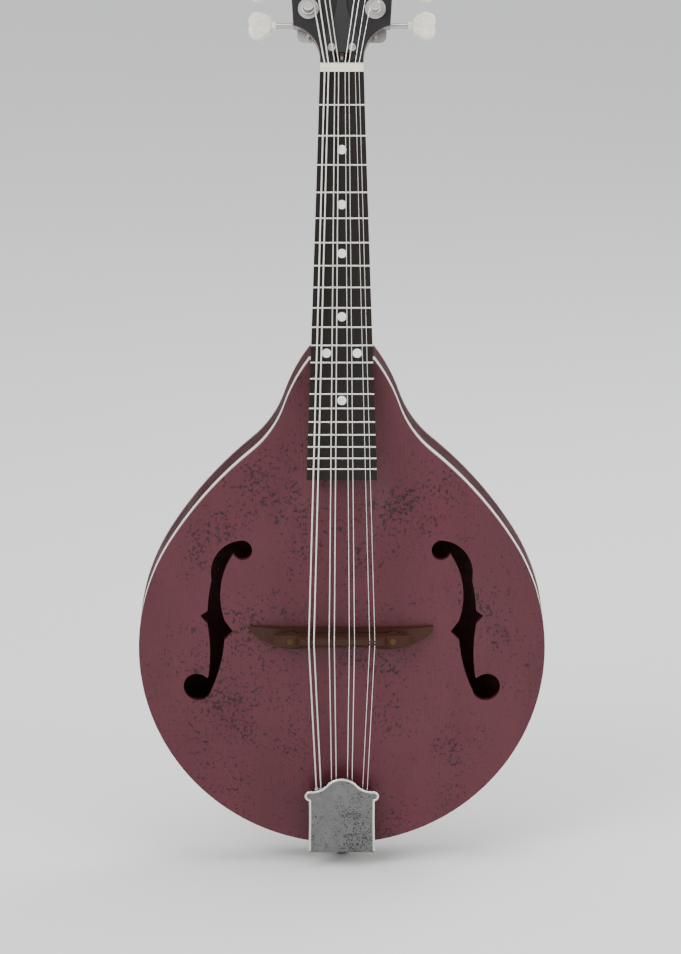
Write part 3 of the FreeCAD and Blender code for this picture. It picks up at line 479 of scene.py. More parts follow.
@dataclass(frozen=True)
class StampedNickel(Surface):
    """The grey satin cover: dulled plating, worn brighter in patches and speckled with pitting."""

    bright: Colour = (0.6, 0.6, 0.6)

    def build(self, effects: Effects) -> Material:
        """Build the material.

        Args:
            effects: the shared node groups.

        Returns:
            The finished material.
        """
        material, graph, shader, place = self.start()
        polish = graph.group(effects.brushing, Vector=place)
        marks = graph.group(effects.handling, Vector=place, Speck_Scale=900.0, Speck_Amount=2.0)
        worn = graph.times(polish["Tarnish"], 0.35)
        base = graph.mix(worn, (*self.colour, 1.0), (*self.bright, 1.0))
        base = graph.mix(graph.times(marks["Specks"], 0.8), base, shade(self.colour, 0.08))
        rough = graph.span(marks["Dullness"], 0.0, 1.0, 0.30, 0.46)
        height = graph.minus(polish["Lines"], graph.times(marks["Specks"], 2.0))
        graph.feed(shader, Base_Color=base, Roughness=rough, Normal=bump(graph, height, 0.00001))
        return material


class Slot(Enum):
    """The record's material slots."""

    SOUNDBOARD = "soundboard"
    BACK = "back"
    RIBS = "ribs"
    NECK = "neck"
    INSIDE_WOOD = "inside_wood"
    SPRUCE = "spruce"
    BINDING = "binding"
    OVERLAY = "overlay"
    COVER_PLATE = "cover_plate"
    FRETBOARD = "fretboard"
    EBONY = "ebony"
    BRIDGE_WOOD = "bridge_wood"
    FRET_WIRE = "fret_wire"
    PEARL = "pearl"
    BONE = "bone"
    WOUND_STRING = "wound_string"
    PLAIN_STRING = "plain_string"
    STEEL = "steel"
    BRASS = "brass"
    AGED_BRASS = "aged_brass"
    NICKEL = "nickel"
    TUNER_POST = "tuner_post"
    TAIL_COVER = "tail_cover"
    BUTTON = "button"


FINISHES = {
    Slot.SOUNDBOARD: Wood(
        "stained_spruce_top", (0.076, 0.0125, 0.0205), roughness=0.5, coat=0.12, coat_roughness=0.22,
        specular=0.3, line_spacing=0.0013, line_strength=0.30, pore_strength=0.15, speck_amount=1.75,
        speck_scale=430.0,
    ),
    Slot.BACK: Wood(
        "stained_maple_back", (0.066, 0.011, 0.015), roughness=0.42, coat=0.3, coat_roughness=0.16,
        specular=0.3, line_spacing=0.0021, line_strength=0.15, pore_strength=0.15, figure_strength=0.34,
        speck_amount=0.6,
    ),
    Slot.RIBS: Wood(
        "stained_maple_ribs", (0.044, 0.0085, 0.012), roughness=0.55, specular=0.05, line_spacing=0.0019,
        line_strength=0.12, pore_strength=0.12, figure_strength=0.26, figure_spacing=0.007,
        speck_amount=0.6,
    ),
    Slot.NECK: Wood(
        "stained_maple_neck", (0.050, 0.009, 0.012), roughness=0.42, coat=0.25, coat_roughness=0.18,
        specular=0.3, line_spacing=0.0017, line_strength=0.18, pore_strength=0.15, figure_strength=0.15,
        speck_amount=0.4,
    ),
    Slot.INSIDE_WOOD: Wood(
        "bare_mahogany", (0.36, 0.20, 0.11), roughness=0.75, line_strength=0.25, pore_strength=0.5,
        speck_amount=0.2,
    ),
    Slot.SPRUCE: Wood(
        "bare_spruce", (0.62, 0.45, 0.27), roughness=0.75, line_strength=0.4, pore_strength=0.1,
        speck_amount=0.2,
    ),
    Slot.BINDING: Swirled(
        "ivoroid_binding", (0.90, 0.88, 0.83), roughness=0.34, coat=0.4, second=(0.80, 0.77, 0.69),
        cloud_scale=180.0, contrast=0.4, dirt=0.3,
    ),
    Slot.OVERLAY: Wood(
        "black_peghead_veneer", (0.011, 0.0095, 0.0095), roughness=0.4, coat=0.15, coat_roughness=0.14,
        specular=0.25, line_strength=0.3, pore_strength=0.4, speck_amount=0.1,
    ),
    Slot.COVER_PLATE: Swirled(
        "black_cover_plate", (0.016, 0.015, 0.015), roughness=0.32, coat=0.2, specular=0.3,
        second=(0.03, 0.028, 0.027), cloud_scale=500.0, contrast=0.3, dirt=0.2,
    ),
    Slot.FRETBOARD: Wood(
        "ebony_board", (0.015, 0.0108, 0.009), roughness=0.52, specular=0.16, line_spacing=0.0009,
        line_strength=0.35, pore_strength=0.55, speck_amount=0.15,
    ),
    Slot.EBONY: Wood(
        "turned_ebony", (0.015, 0.012, 0.011), roughness=0.38, specular=0.3, line_strength=0.3,
        pore_strength=0.45, speck_amount=0.1,
    ),
    Slot.BRIDGE_WOOD: Wood(
        "rosewood_bridge", (0.037, 0.0115, 0.0055), roughness=0.5, specular=0.2, line_spacing=0.0011,
        line_strength=0.55, pore_strength=0.6, speck_amount=0.3, grain_turn=(0.0, math.pi / 2, 0.0),
    ),
    Slot.FRET_WIRE: Metal(
        "nickel_silver_fret_wire", (0.86, 0.85, 0.81), roughness=0.26, metallic=1.0,
        tarnish=(0.5, 0.43, 0.3), tarnish_amount=0.15,
    ),
    Slot.PEARL: Swirled(
        "pearl_dots", (0.92, 0.92, 0.89), roughness=0.18, coat=0.5, second=(0.72, 0.79, 0.79),
        cloud_scale=420.0, contrast=0.8, dirt=0.05,
    ),
    Slot.BONE: Swirled(
        "bone_nut", (0.84, 0.79, 0.66), roughness=0.34, second=(0.70, 0.62, 0.46), cloud_scale=300.0,
        contrast=0.5, dirt=0.2,
    ),
    Slot.WOUND_STRING: WoundWire("nickel_wound_string", (0.90, 0.88, 0.84), roughness=0.3, metallic=1.0),
    Slot.PLAIN_STRING: Metal(
        "plain_steel_string", (0.95, 0.95, 0.94), roughness=0.24, metallic=1.0, tarnish=(0.6, 0.57, 0.53),
        tarnish_amount=0.12,
    ),
    Slot.STEEL: Metal("blued_steel", (0.50, 0.50, 0.52), roughness=0.3, metallic=1.0, tarnish_amount=0.4),
    Slot.BRASS: Metal(
        "machined_brass", (0.80, 0.60, 0.28), roughness=0.28, metallic=1.0, tarnish_amount=0.35,
    ),
    Slot.AGED_BRASS: Metal(
        "aged_brass", (0.085, 0.050, 0.027), roughness=0.5, metallic=1.0, tarnish=(0.04, 0.024, 0.014),
        tarnish_amount=0.8,
    ),
    Slot.NICKEL: Metal(
        "worn_nickel_plate", (0.50, 0.49, 0.465), roughness=0.3, metallic=1.0, tarnish=(0.24, 0.205, 0.15),
        tarnish_amount=0.55,
    ),
    Slot.TUNER_POST: Metal(
        "bright_nickel_post", (0.74, 0.73, 0.70), roughness=0.22, metallic=1.0, tarnish=(0.4, 0.36, 0.29),
        tarnish_amount=0.3,
    ),
    Slot.TAIL_COVER: StampedNickel(
        "satin_tailpiece_cover", (0.15, 0.15, 0.15), roughness=0.4, metallic=0.8,
        bright=(0.27, 0.27, 0.272),
    ),
    Slot.BUTTON: Swirled(
        "cream_pearloid_button", (0.82, 0.78, 0.68), roughness=0.24, coat=0.5, second=(0.60, 0.56, 0.46),
        cloud_scale=240.0, contrast=0.8, dirt=0.12,
    ),
}


# ---------- where things are


def turned(degrees: float) -> Matrix:
    """A turn about the X axis."""
    return Matrix.Rotation(math.radians(degrees), 4, "X")


@dataclass(frozen=True)
class Layout:
    """The instrument's own frames and the lines its strings follow, in millimetres."""

    scale_length: float = 349.25
    neck_angle: float = 5.5
    head_angle: float = 14.0
    tail_slope: float = 9.6
    nut_length: float = 5.0
    tail_height: float = 9.0
    edge_depth: float = 21.0
    joint_station: float = 304.5
    board_lift: float = 6.0
    joint_fret: int = 12
    bridge_offset: float = 4.0
    nut_action: float = 6.4
    crest_action: float = 9.168
    nut_centres: tuple[float, ...] = (-9.1, -3.05, 3.05, 9.1)
    saddle_centres: tuple[float, ...] = (-18.4, -6.1, 6.1, 18.4)
    tail_centres: tuple[float, ...] = (-13.7, -4.6, 4.6, 13.7)
    half_gaps: Triple = (1.15, 1.55, 1.4)
    radii: tuple[float, ...] = (0.53, 0.36, 0.23, 0.17)
    first_post: float = 32.0
    post_pitch: float = 23.0
    post_side: float = 20.0
    post_radius: float = 3.0
    wind_height: float = 6.2
    wire_gap: float = 0.12
    nut_fall: float = 0.4
    hook_depth: float = 5.4
    hook_height: float = 32.0
    foot_offset: float = 1.0

    def neck(self) -> Matrix:
        """The frame of the fretboard, with its origin at the nut's front edge, in millimetres."""
        joint = Vector((0.0, -self.edge_depth - self.board_lift, self.tail_height + self.joint_station))
        up = turned(-self.neck_angle) @ Vector((0.0, 0.0, self.fret_distance(self.joint_fret)))
        return Matrix.Translation(joint + up) @ turned(-self.neck_angle)

    def head(self) -> Matrix:
        """The frame of the headstock's front face."""
        return self.neck() @ Matrix.Translation((0.0, 0.0, self.nut_length)) @ turned(-self.head_angle)

    def tailpiece(self) -> Matrix:
        """The frame of the tailpiece's plate."""
        offset = self.foot_offset
        foot = Matrix.Translation((0.0, -self.edge_depth - offset, self.tail_height - offset))
        return foot @ turned(self.tail_slope)

    def fret_distance(self, number: float) -> float:
        """Distance from the nut to a fret, in equal temperament."""
        return self.scale_length * (1 - 2 ** (-number / 12))

    def post(self, course: int, number: int) -> Vector:
        """Where a string's post stands on the headstock's front.

        Args:
            course: 0 to 3, from bass to treble.
            number: 1 for the outer string of the pair, 2 for the inner one.

        Returns:
            The point in the headstock's frame.
        """
        side = -1 if course < 2 else 1
        row = (course if course < 2 else 3 - course) * 2 + number - 1
        return Vector((side * self.post_side, 0.0, self.first_post + row * self.post_pitch))

    def string_points(self, course: int, number: int) -> list[Vector]:
        """The centre line of a string.

        Args:
            course: 0 to 3, from bass to treble.
            number: 1 for the outer string of the pair, 2 for the inner one.

        Returns:
            Tail hook, saddle crest, nut's front, nut's back and post, in metres.
        """
        outward = (-1 if number == 1 else 1) * (1 if course < 2 else -1)
        radius = self.radii[course]
        nut_gap, saddle_gap, tail_gap = (outward * gap for gap in self.half_gaps)
        post = self.post(course, number)
        side = 1 if post.x > 0 else -1
        reach = self.post_radius + radius + self.wire_gap
        nut_x = self.nut_centres[course] + nut_gap
        points = [
            self.tailpiece() @ Vector((
                self.tail_centres[course] + tail_gap, -self.hook_depth, self.hook_height,
            )),
            self.neck() @ Vector((
                self.saddle_centres[course] + saddle_gap, -self.crest_action - radius,
                self.bridge_offset - self.scale_length,
            )),
            self.neck() @ Vector((nut_x, -self.nut_action - radius, 0.0)),
            self.neck() @ Vector((nut_x, -self.nut_action - radius + self.nut_fall, self.nut_length)),
            self.head() @ Vector((post.x - side * reach, -self.wind_height, post.z)),
        ]
        return [point * MM for point in points]


COURSES = ("g", "d", "a", "e")


# ---------- making pieces


def stand(name: str, data: bpy.types.ID) -> Piece:
    """Put new data in the scene as an object."""
    thing = bpy.data.objects.new(name, data)
    bpy.context.scene.collection.objects.link(thing)
    return thing


class Workshop:
    """Makes finished pieces from CAD nodes, meshes and Geometry Nodes, and puts each on its body."""

    def __init__(self) -> None:
        """Build the materials that every assembly shares."""
        effects = Effects()
        self.materials = {slot: finish.build(effects) for slot, finish in FINISHES.items()}
        self.count = 0

    def finish(self, piece: Piece, slot: Slot, body: str) -> Piece:
        """Give a piece its only material and let it ride on a body.

        Args:
            piece: the object.
            slot: the material slot.
            body: the CAD body's name.

        Returns:
            The same object.
        """
        piece.data.materials.clear()
        piece.data.materials.append(self.materials[slot])
        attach(piece, body)
        self.count += 1
        log.info("%s: %d faces on %s", piece.name, len(piece.data.polygons), body)
        return piece

    def keep(self, node: str, slot: Slot) -> None:
        """Dress a CAD node that stays as it is."""
        mesh = frame["nodes"][node].data
        mesh.materials.clear()
        mesh.materials.append(self.materials[slot])

    def surfaced(
        self, node: str, slot: Slot, angle: float = 32.0, bevel: float = 0.0, segments: int = 2,
    ) -> Piece:
        """Stand a smoothly shaded copy in for a CAD node, with its edges eased if asked.

        Args:
            node: the CAD node.
            slot: its material slot.
            angle: edges sharper than this stay crisp, in degrees.
            bevel: the width that sharp edges are eased by, in metres.
            segments: how many faces an eased edge has.

        Returns:
            The finished piece.
        """
        source = frame["nodes"][node]
        mesh = source.data.copy()
        if "custom_normal" in mesh.attributes:
            mesh.attributes.remove(mesh.attributes["custom_normal"])
        shell = bmesh.new()
        shell.from_mesh(mesh)
        bmesh.ops.remove_doubles(shell, verts=shell.verts, dist=2e-6)
        bmesh.ops.dissolve_degenerate(shell, edges=shell.edges, dist=1e-6)
        if bevel:
            flat = math.radians(1.0)
            bmesh.ops.dissolve_limit(shell, angle_limit=flat, verts=shell.verts, edges=shell.edges)
        shell.to_mesh(mesh)
        shell.free()
        mesh.shade_smooth()
        mesh.set_sharp_from_angle(angle=math.radians(angle))
        piece = stand("dressed_" + node, mesh)
        if bevel:
            self._ease(piece, bevel, segments, angle)
        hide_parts(node)
        return self.finish(piece, slot, source["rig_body"])

    def _ease(self, piece: Piece, width: float, segments: int, angle: float) -> None:
        """Bevel a piece's sharp edges and keep the result as its mesh."""
        modifier = piece.modifiers.new("eased_edges", "BEVEL")
        modifier.width = width
        modifier.segments = segments
        modifier.limit_method = "ANGLE"
        modifier.angle_limit = math.radians(angle)
        modifier.harden_normals = True
        self.apply(piece)

    def apply(self, piece: Piece) -> None:
        """Replace a piece's mesh with what its modifiers make of it, and drop the modifiers."""
        bpy.context.view_layer.update()
        evaluated = piece.evaluated_get(bpy.context.evaluated_depsgraph_get())
        result = bpy.data.meshes.new_from_object(evaluated)
        piece.modifiers.clear()
        piece.data = result

    def grown(
        self, name: str, tree: Tree, slot: Slot, place: Matrix,
        curve: list[Vector] | None = None, **inputs: float,
    ) -> Piece:
        """Run a Geometry Nodes tree and return its result as a plain mesh, in place.

        Args:
            name: the piece's name.
            tree: the geometry tree.
            slot: the material slot, passed to the tree's Material input.
            place: where the result goes, in metres.
            curve: points of a line that the tree follows, or None for a tree that needs none.
            inputs: values of the tree's inputs by name, with _ for a space.

        Returns:
            The new object, which has no parent yet.
        """
        if curve is None:
            seed = bpy.data.meshes.new(name + "_seed")
        else:
            seed = bpy.data.curves.new(name + "_seed", "CURVE")
            seed.dimensions = "3D"
            spline = seed.splines.new("POLY")
            spline.points.add(len(curve) - 1)
            for point, at in zip(spline.points, curve):
                point.co = (*at, 1.0)
        grower = stand(name + "_grower", seed)
        modifier = grower.modifiers.new("growth", "NODES")
        modifier.node_group = tree
        sockets = {s.name: s.identifier for s in tree.interface.items_tree if s.in_out == "INPUT"}
        for key, value in inputs.items():
            modifier[sockets[key.replace("_", " ")]] = value
        modifier[sockets["Material"]] = self.materials[slot]
        bpy.context.view_layer.update()
        evaluated = grower.evaluated_get(bpy.context.evaluated_depsgraph_get())
        mesh = bpy.data.meshes.new_from_object(evaluated)
        bpy.data.objects.remove(grower)
        mesh.transform(place)
        mesh.name = name
        piece = stand(name, mesh)
        return piece


class Growths:
    """The Geometry Nodes trees for what repeats or follows a line."""

    def __init__(self) -> None:
        """Build each tree once."""
        self.tube = self._tube()
        self.winding = self._winding()
        self.frets = self._frets()

    def _start(
        self, name: str, inputs: dict[str, float | int],
    ) -> tuple[Graph, Node, Node]:
        """Make a geometry tree with Geometry, Material and the given inputs."""
        tree = bpy.data.node_groups.new(name, "GeometryNodeTree")
        tree.interface.new_socket("Geometry", in_out="INPUT", socket_type="NodeSocketGeometry")
        tree.interface.new_socket("Geometry", in_out="OUTPUT", socket_type="NodeSocketGeometry")
        for label, default in inputs.items():
            kind = "NodeSocketInt" if isinstance(default, int) else "NodeSocketFloat"
            tree.interface.new_socket(label, in_out="INPUT", socket_type=kind).default_value = default
        tree.interface.new_socket("Material", in_out="INPUT", socket_type="NodeSocketMaterial")
        graph = Graph(tree)
        return graph, graph.add("NodeGroupInput"), graph.add("NodeGroupOutput")

    def _sweep(self, graph: Graph, curve: object, radius: object, sides: int) -> Socket:
        """Sweep a round section along a curve, with its ends closed."""
        profile = graph.fed("GeometryNodeCurvePrimitiveCircle", Resolution=sides, Radius=radius)
        sweep = graph.fed(
            "GeometryNodeCurveToMesh", Curve=curve, Profile_Curve=profile.outputs["Curve"], Fill_Caps=True
        )
        return sweep.outputs["Mesh"]

    def _end(
        self, graph: Graph, mesh: object, source: Node, sink: Node,
    ) -> Tree:
        """Realise the instances, shade the result smooth and set its material."""
        real = graph.fed("GeometryNodeRealizeInstances", Geometry=mesh)
        smooth = graph.fed("GeometryNodeSetShadeSmooth", Geometry=real.outputs[0])
        dressed = graph.fed(
            "GeometryNodeSetMaterial", Geometry=smooth.outputs[0], Material=source.outputs["Material"]
        )
        graph.tree.links.new(dressed.outputs[0], sink.inputs[0])
        return graph.tree

    def _tube(self) -> Tree:
        """A round wire along the given line, its corners rounded over a short bend."""
        graph, source, sink = self._start("wire_along_line", {"Radius": 0.0003, "Bend": 0.002})
        bend = graph.add("GeometryNodeFilletCurve")
        bend.mode = "POLY"
        given = source.outputs
        graph.feed(bend, Curve=given["Geometry"], Count=6, Radius=given["Bend"], Limit_Radius=True)
        mesh = self._sweep(graph, bend.outputs["Curve"], given["Radius"], 14)
        merged = graph.fed("GeometryNodeMergeByDistance", Geometry=mesh, Distance=2e-6)
        return self._end(graph, merged.outputs[0], source, sink)

    def _winding(self) -> Tree:
        """A wire wound round a post: its turns, the post's radius and the height of the winding."""
        graph, source, sink = self._start(
            "wire_winding", {"Radius": 0.0003, "Turns": 3.0, "Coil Radius": 0.003, "Height": 0.003}
        )
        given = source.outputs
        helix = graph.add("GeometryNodeCurveSpiral")
        graph.feed(
            helix, Resolution=28, Rotations=given["Turns"], Start_Radius=given["Coil Radius"],
            End_Radius=given["Coil Radius"], Height=given["Height"],
        )
        mesh = self._sweep(graph, helix.outputs["Curve"], given["Radius"], 10)
        return self._end(graph, mesh, source, sink)

    def _frets(self) -> Tree:
        """A row of half-round wires in equal temperament, each as long as the board is wide there."""
        graph, source, sink = self._start(
            "fret_row",
            {"Count": 20, "Scale Length": 0.35, "Board Length": 0.25, "Nut Half Width": 0.013,
             "End Half Width": 0.021, "Crown Radius": 0.0011},
        )
        given = source.outputs
        row = graph.fed("GeometryNodeMeshLine", Count=given["Count"])
        number = graph.plus(graph.add("GeometryNodeInputIndex").outputs[0], 1.0)
        share = graph.math("POWER", 2.0, graph.over(number, -12.0))
        distance = graph.times(given["Scale Length"], graph.minus(1.0, share))
        place = graph.fed("ShaderNodeCombineXYZ", Z=graph.times(distance, -1.0))
        spread = graph.fed("GeometryNodeSetPosition", Geometry=row.outputs[0], Position=place.outputs[0])
        widening = graph.minus(given["End Half Width"], given["Nut Half Width"])
        extra = graph.times(widening, graph.over(distance, given["Board Length"]))
        half = graph.plus(given["Nut Half Width"], extra)
        section = graph.fed(
            "GeometryNodeCurveArc", Resolution=12, Radius=given["Crown Radius"],
            Start_Angle=0.0, Sweep_Angle=math.pi,
        )
        closed = graph.fed("GeometryNodeSetSplineCyclic", Geometry=section.outputs[0], Cyclic=True)
        line = graph.fed("GeometryNodeCurvePrimitiveLine", Start=(-1.0, 0.0, 0.0), End=(1.0, 0.0, 0.0))
        sweep = graph.fed(
            "GeometryNodeCurveToMesh", Curve=line.outputs[0], Profile_Curve=closed.outputs[0], Fill_Caps=True
        )
        scale = graph.fed("ShaderNodeCombineXYZ", X=half, Y=1.0, Z=1.0)
        copies = graph.fed(
            "GeometryNodeInstanceOnPoints",
            Points=spread.outputs[0], Instance=sweep.outputs[0], Scale=scale.outputs[0],
        )
        return self._end(graph, copies.outputs[0], source, sink)


# ---------- assemblies


def arc_points(
    start: tuple[float, float], via: tuple[float, float], end: tuple[float, float], count: int,
) -> list[tuple[float, float]]:
    """Points of the arc through three points.

    Args:
        start: the first point.
        via: a point on the arc.
        end: the last point.
        count: how many steps the arc is cut into.

    Returns:
        The points from start to end, both included.
    """
    a, b, c = (complex(*point) for point in (start, via, end))
    ratio = (c - a) / (b - a)
    centre = (a - b) * (ratio - abs(ratio) ** 2) / (2j * ratio.imag) - a
    turn = cmath.phase((c + centre) / (a + centre))
    middle = cmath.phase((b + centre) / (a + centre))
    if turn * middle < 0:
        turn += math.copysign(2 * math.pi, middle)
    spots = ((a + centre) * cmath.rect(1.0, turn * step / count) - centre for step in range(count + 1))
    return [(spot.real, spot.imag) for spot in spots]


def placed(matrix: Matrix) -> Matrix:
    """A frame in millimetres as a transform of a mesh that is in metres."""
    result = matrix.copy()
    result.translation = matrix.translation * MM
    return result


@dataclass
class Assembly:
    """What every sub-assembly shares."""

    layout: Layout
    shop: Workshop
    growths: Growths

    def build(self) -> None:
        """Build and dress the assembly's pieces."""
        raise NotImplementedError


@dataclass
class SoundBox(Assembly):
    """Carved plates, ribs, binding and what is inside."""

    def build(self) -> None:
        """Build and dress the body."""
        shop = self.shop
        shop.surfaced("top_plate", Slot.SOUNDBOARD, angle=40.0)
        shop.surfaced("back_plate", Slot.BACK, angle=40.0)
        shop.surfaced("rib_bass", Slot.RIBS)
        shop.surfaced("rib_treble", Slot.RIBS)
        shop.surfaced("top_binding", Slot.BINDING)
        for node, slot in (
            ("head_block", Slot.RIBS), ("tail_block", Slot.INSIDE_WOOD), ("top_linings", Slot.INSIDE_WOOD),
            ("back_linings", Slot.INSIDE_WOOD), ("tone_bars", Slot.SPRUCE),
        ):
            shop.keep(node, slot)
        shop.surfaced("end_pin", Slot.EBONY, angle=25.0)


@dataclass
class Neck(Assembly):
    """Neck, headstock front, fretboard, frets, dots, nut and truss rod."""

    fret_total: int = 20
    board_overrun: float = 7.2
    half_width_nut: float = 13.0
    half_width_end: float = 21.15
    board_thickness: float = 5.0
    crown_radius: float = 1.1

    def build(self) -> None:
        """Build and dress the neck."""
        shop = self.shop
        shop.surfaced("neck", Slot.NECK, angle=30.0)
        shop.surfaced("peghead_overlay", Slot.OVERLAY)
        shop.surfaced("truss_rod_cover", Slot.COVER_PLATE, bevel=0.00025)
        shop.surfaced("truss_rod_nut", Slot.BRASS)
        shop.keep("truss_rod", Slot.STEEL)
        shop.surfaced("fretboard", Slot.FRETBOARD)
        shop.surfaced("fret_markers", Slot.PEARL)
        shop.surfaced("nut", Slot.BONE)
        self._frets()

    def _frets(self) -> None:
        """Set the row of frets on the board."""
        layout = self.layout
        surface = Matrix.Translation((0.0, -self.board_thickness, 0.0))
        frets = self.shop.grown(
            "fret_row", self.growths.frets, Slot.FRET_WIRE, placed(layout.neck() @ surface),
            Count=self.fret_total, Scale_Length=layout.scale_length * MM,
            Board_Length=(layout.fret_distance(self.fret_total) + self.board_overrun) * MM,
            Nut_Half_Width=self.half_width_nut * MM, End_Half_Width=self.half_width_end * MM,
            Crown_Radius=self.crown_radius * MM,
        )
        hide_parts("frets")
        self.shop.finish(frets, Slot.FRET_WIRE, ROOT)


@dataclass
class Bridge(Assembly):
    """Two-part adjustable bridge on its wheels."""

    def build(self) -> None:
        """Build and dress the bridge."""
        shop = self.shop
        shop.surfaced("bridge_base", Slot.BRIDGE_WOOD, bevel=0.0004)
        shop.surfaced("bridge_saddle", Slot.BRIDGE_WOOD, bevel=0.0003)
        shop.surfaced("bridge_posts", Slot.AGED_BRASS)
        shop.surfaced("thumbwheel_bass", Slot.AGED_BRASS)
        shop.surfaced("thumbwheel_treble", Slot.AGED_BRASS)


@dataclass
class Tailpiece(Assembly):
    """Hook plate, its screws and the stamped cover."""

    cover_height: float = 8.0
    bead_radius: float = 0.8
    bead_inset: float = 0.75
    bead_rise: float = 0.45
    bead_corner: float = 0.6
    lower_edge: float = -0.6
    half_width: float = 20.0
    side_middle: float = 20.0
    centre_height: float = 22.0
    crest_arcs: tuple[tuple[tuple[float, float], ...], ...] = (
        ((20.0, 34.6), (22.6, 37.2), (19.2, 40.2)),
        ((19.2, 40.2), (14.5, 41.0), (9.8, 44.0)),
        ((9.8, 44.0), (0.0, 49.0), (-9.8, 44.0)),
    )

    def build(self) -> None:
        """Build and dress the tailpiece."""
        shop = self.shop
        shop.surfaced("tailpiece_base", Slot.NICKEL)
        shop.surfaced("tailpiece_screws", Slot.NICKEL)
        shop.surfaced("tailpiece_cover", Slot.TAIL_COVER, bevel=0.00025)
        self._highlight_bead()

    def _highlight_bead(self) -> None:
        """Roll a bead along the cover's ears and crest, in bright nickel that paints a highlight on them."""
        ear, shoulder, top = (arc_points(*arc, 8) for arc in self.crest_arcs)
        side = [(self.half_width, self.lower_edge), (self.half_width, self.side_middle)]
        half = side + ear + shoulder[1:]
        outline = half + top[1:-1] + [(-x, z) for x, z in reversed(half)]
        centre = Vector((0.0, self.centre_height))
        level = self.bead_radius - self.bead_rise - self.cover_height
        line = []
        for x, z in outline:
            inwards = (centre - Vector((x, z))).normalized() * self.bead_inset
            line.append(self.layout.tailpiece() @ Vector((x + inwards.x, level, z + inwards.y)) * MM)
        # The bead's shape is a real rolled edge, but its bright nickel, much lighter than the cover's grey,
        # is a painted highlight.
        bead = self.shop.grown(
            "cover_highlight_bead", self.growths.tube, Slot.TUNER_POST, Matrix.Identity(4), line,
            Radius=self.bead_radius * MM, Bend=self.bead_corner * MM,
        )
        self.shop.finish(bead, Slot.TUNER_POST, "tail_cover")


@dataclass
class Strings(Assembly):
    """Four double courses from the tail hooks over the saddle and nut to the posts."""

    still_share: float = 0.45
    corner: float = 1.5
    loop_start: float = 4.5
    loop_turns: float = 7.0
    loop_reach: float = 5.0
    wind_turns: tuple[float, ...] = (2.6, 3.1, 4.2, 5.1)
    # These are multiples of the string's own radius.
    loop_wire: float = 0.7
    loop_coil: float = 1.45
    wind_offset: float = 1.05
    wind_pitch: float = 2.1

    def build(self) -> None:
        """Build and dress every string."""
        for course, letter in enumerate(COURSES):
            slot = Slot.WOUND_STRING if course < 2 else Slot.PLAIN_STRING
            for number in (1, 2):
                self._string(course, number, letter, slot)

    def _string(self, course: int, number: int, letter: str, slot: Slot) -> None:
        """Make one string: its tail span, its neck span, its loop's twist and its turns on the post."""
        layout, shop = self.layout, self.shop
        name = f"string_{letter}{number}"
        hook, crest, front, back, end = layout.string_points(course, number)
        radius = layout.radii[course] * MM
        still = hook.lerp(crest, self.still_share)
        spans = (
            ("tail", [hook, still, crest], still, crest),
            ("neck", [crest, front, back, end], front, crest),
        )
        for label, line, start, finish in spans:
            piece = shop.grown(
                f"{name}_{label}", self.growths.tube, slot, Matrix.Identity(4), line,
                Radius=radius, Bend=self.corner * MM,
            )
            if label == "tail" and number == 1:
                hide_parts("strings_" + letter)
            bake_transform(piece)
            shop.count += 1
        self._twist(name, hook, crest, radius, slot)
        self._turns(name, course, number, radius, slot)

    def _twist(self, name: str, hook: Vector, crest: Vector, radius: float, slot: Slot) -> None:
        """Wind the loop's twisted end round the first few millimetres of the string."""
        along = (crest - hook).normalized()
        start = Matrix.Translation(hook + along * self.loop_start * MM)
        place = start @ along.to_track_quat("Z", "Y").to_matrix().to_4x4()
        twist = self.shop.grown(
            name + "_twist", self.growths.winding, slot, place, Radius=radius * self.loop_wire,
            Turns=self.loop_turns, Coil_Radius=radius * self.loop_coil, Height=self.loop_reach * MM,
        )
        self.shop.finish(twist, slot, ROOT)

    def _turns(self, name: str, course: int, number: int, radius: float, slot: Slot) -> None:
        """Wind the string's turns down its post."""
        layout = self.layout
        post = layout.post(course, number)
        turns = self.wind_turns[course]
        treble = post.x > 0
        reach = layout.post_radius * MM + radius * self.wind_offset
        start = layout.head() @ Matrix.Translation((post.x, -layout.wind_height, post.z))
        mirror = Matrix.Scale(-1.0, 4, Vector((0.0, 1.0, 0.0))) if treble else Matrix.Identity(4)
        spin = Matrix.Rotation(math.pi if treble else 0.0, 4, "Z")
        place = placed(start) @ turned(-90.0) @ mirror @ spin
        winding = self.shop.grown(
            name + "_turns", self.growths.winding, slot, place,
            Radius=radius, Turns=turns, Coil_Radius=reach, Height=radius * self.wind_pitch * turns,
        )
        if treble:
            winding.data.flip_normals()
        self.shop.finish(winding, slot, f"post_{COURSES[course]}{number}")


@dataclass
class Tuners(Assembly):
    """Open-geared tuning machines, their plates, bushings and screws."""

    def build(self) -> None:
        """Build and dress the tuners."""
        shop = self.shop
        for letter in COURSES:
            for number in (1, 2):
                name = f"{letter}{number}"
                shop.surfaced("tuner_shaft_" + name, Slot.NICKEL, angle=40.0)
                shop.surfaced("tuner_button_" + name, Slot.BUTTON, angle=50.0)
                shop.surfaced("string_post_" + name, Slot.TUNER_POST, angle=25.0)
        for node in ("tuner_plate_bass", "tuner_plate_treble", "post_bushings", "headstock_screws"):
            shop.surfaced(node, Slot.NICKEL)


# ---------- studio


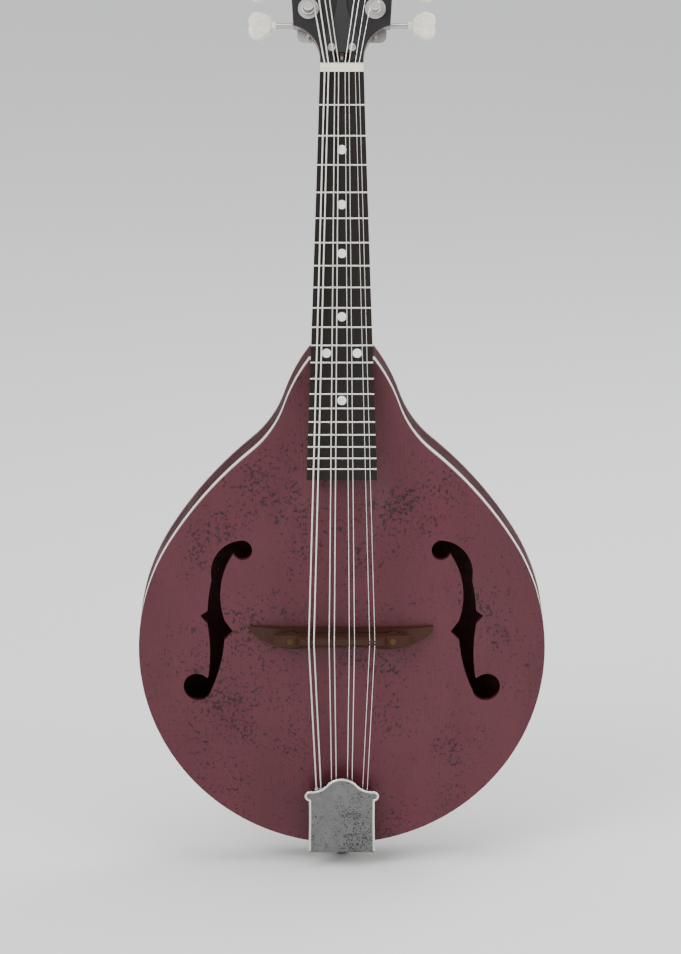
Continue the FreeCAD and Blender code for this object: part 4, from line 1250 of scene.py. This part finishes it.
@dataclass
class Studio:
    """Pale floor, soft lights and the camera."""

    distance: float = 4.0
    elevation: float = 14.0
    target: Triple = (-0.0008, -0.021, 0.240)
    view_height: float = 0.5765
    floor_level: float = -0.0045
    floor_reach: float = 30.0

    def build(self) -> None:
        """Build the set."""
        self._floor()
        self._light("key_light", (-1.5, -2.2, 1.9), 1.6, 60.0)
        self._light("fill_light", (1.9, -1.9, 1.0), 1.8, 26.0)
        self._light("top_light", (0.1, -0.2, 2.2), 1.4, 22.0)
        self._light("back_light", (0.9, 1.0, 1.2), 0.8, 10.0)
        self._world()
        self._camera()

    def _floor(self) -> None:
        """A wide pale floor."""
        reach = self.floor_reach
        shell = bmesh.new()
        corners = [(-reach, -reach), (reach, -reach), (reach, reach), (-reach, reach)]
        shell.faces.new([shell.verts.new((x, y, self.floor_level)) for x, y in corners])
        mesh = bpy.data.meshes.new("floor")
        shell.to_mesh(mesh)
        shell.free()
        floor = stand("floor", mesh)
        material, graph, shader, place = Surface("pale_paper", (0.88, 0.88, 0.87), roughness=0.9).start()
        tone = graph.mix(graph.noise(place, 3.0, 3.0), (0.86, 0.86, 0.85, 1.0), (0.90, 0.90, 0.89, 1.0))
        graph.feed(shader, Base_Color=tone)
        mesh.materials.append(material)

    def _light(self, name: str, place: Triple, size: float, power: float) -> None:
        """A square soft light that faces the instrument."""
        data = bpy.data.lights.new(name, "AREA")
        data.size = size
        data.energy = power
        light = stand(name, data)
        light.location = place
        aim = Vector(self.target) - Vector(place)
        light.rotation_euler = aim.to_track_quat("-Z", "Y").to_euler()

    def _world(self) -> None:
        """A dim even sky that fills the shadows."""
        world = bpy.data.worlds.new("studio")
        world.use_nodes = True
        sky = world.node_tree.nodes["Background"].inputs
        sky["Color"].default_value = (0.97, 0.98, 1.0, 1.0)
        sky["Strength"].default_value = 0.8
        bpy.context.scene.world = world

    def _camera(self) -> None:
        """A long lens a little above the middle of the instrument, level with its face."""
        data = bpy.data.cameras.new("camera")
        data.sensor_fit = "VERTICAL"
        data.sensor_height = 24.0
        data.lens = data.sensor_height * self.distance / self.view_height
        data.dof.use_dof = False
        data.clip_end = 50.0
        camera = stand("camera", data)
        lift = math.radians(self.elevation)
        away = Vector((0.0, -math.cos(lift), math.sin(lift))) * self.distance
        camera.location = Vector(self.target) + away
        camera.rotation_euler = (-away).to_track_quat("-Z", "Y").to_euler()
        bpy.context.scene.camera = camera


def main() -> None:
    """Build the instrument in order, then the studio round it."""
    logging.basicConfig(level=logging.INFO, format="%(name)s: %(message)s")
    layout = Layout()
    shop = Workshop()
    growths = Growths()
    for kind in (SoundBox, Neck, Bridge, Tailpiece, Strings, Tuners):
        kind(layout, shop, growths).build()
        log.info("%s is finished, %d pieces so far", kind.__name__, shop.count)
    Studio().build()


if __name__ == "__main__":
    main()
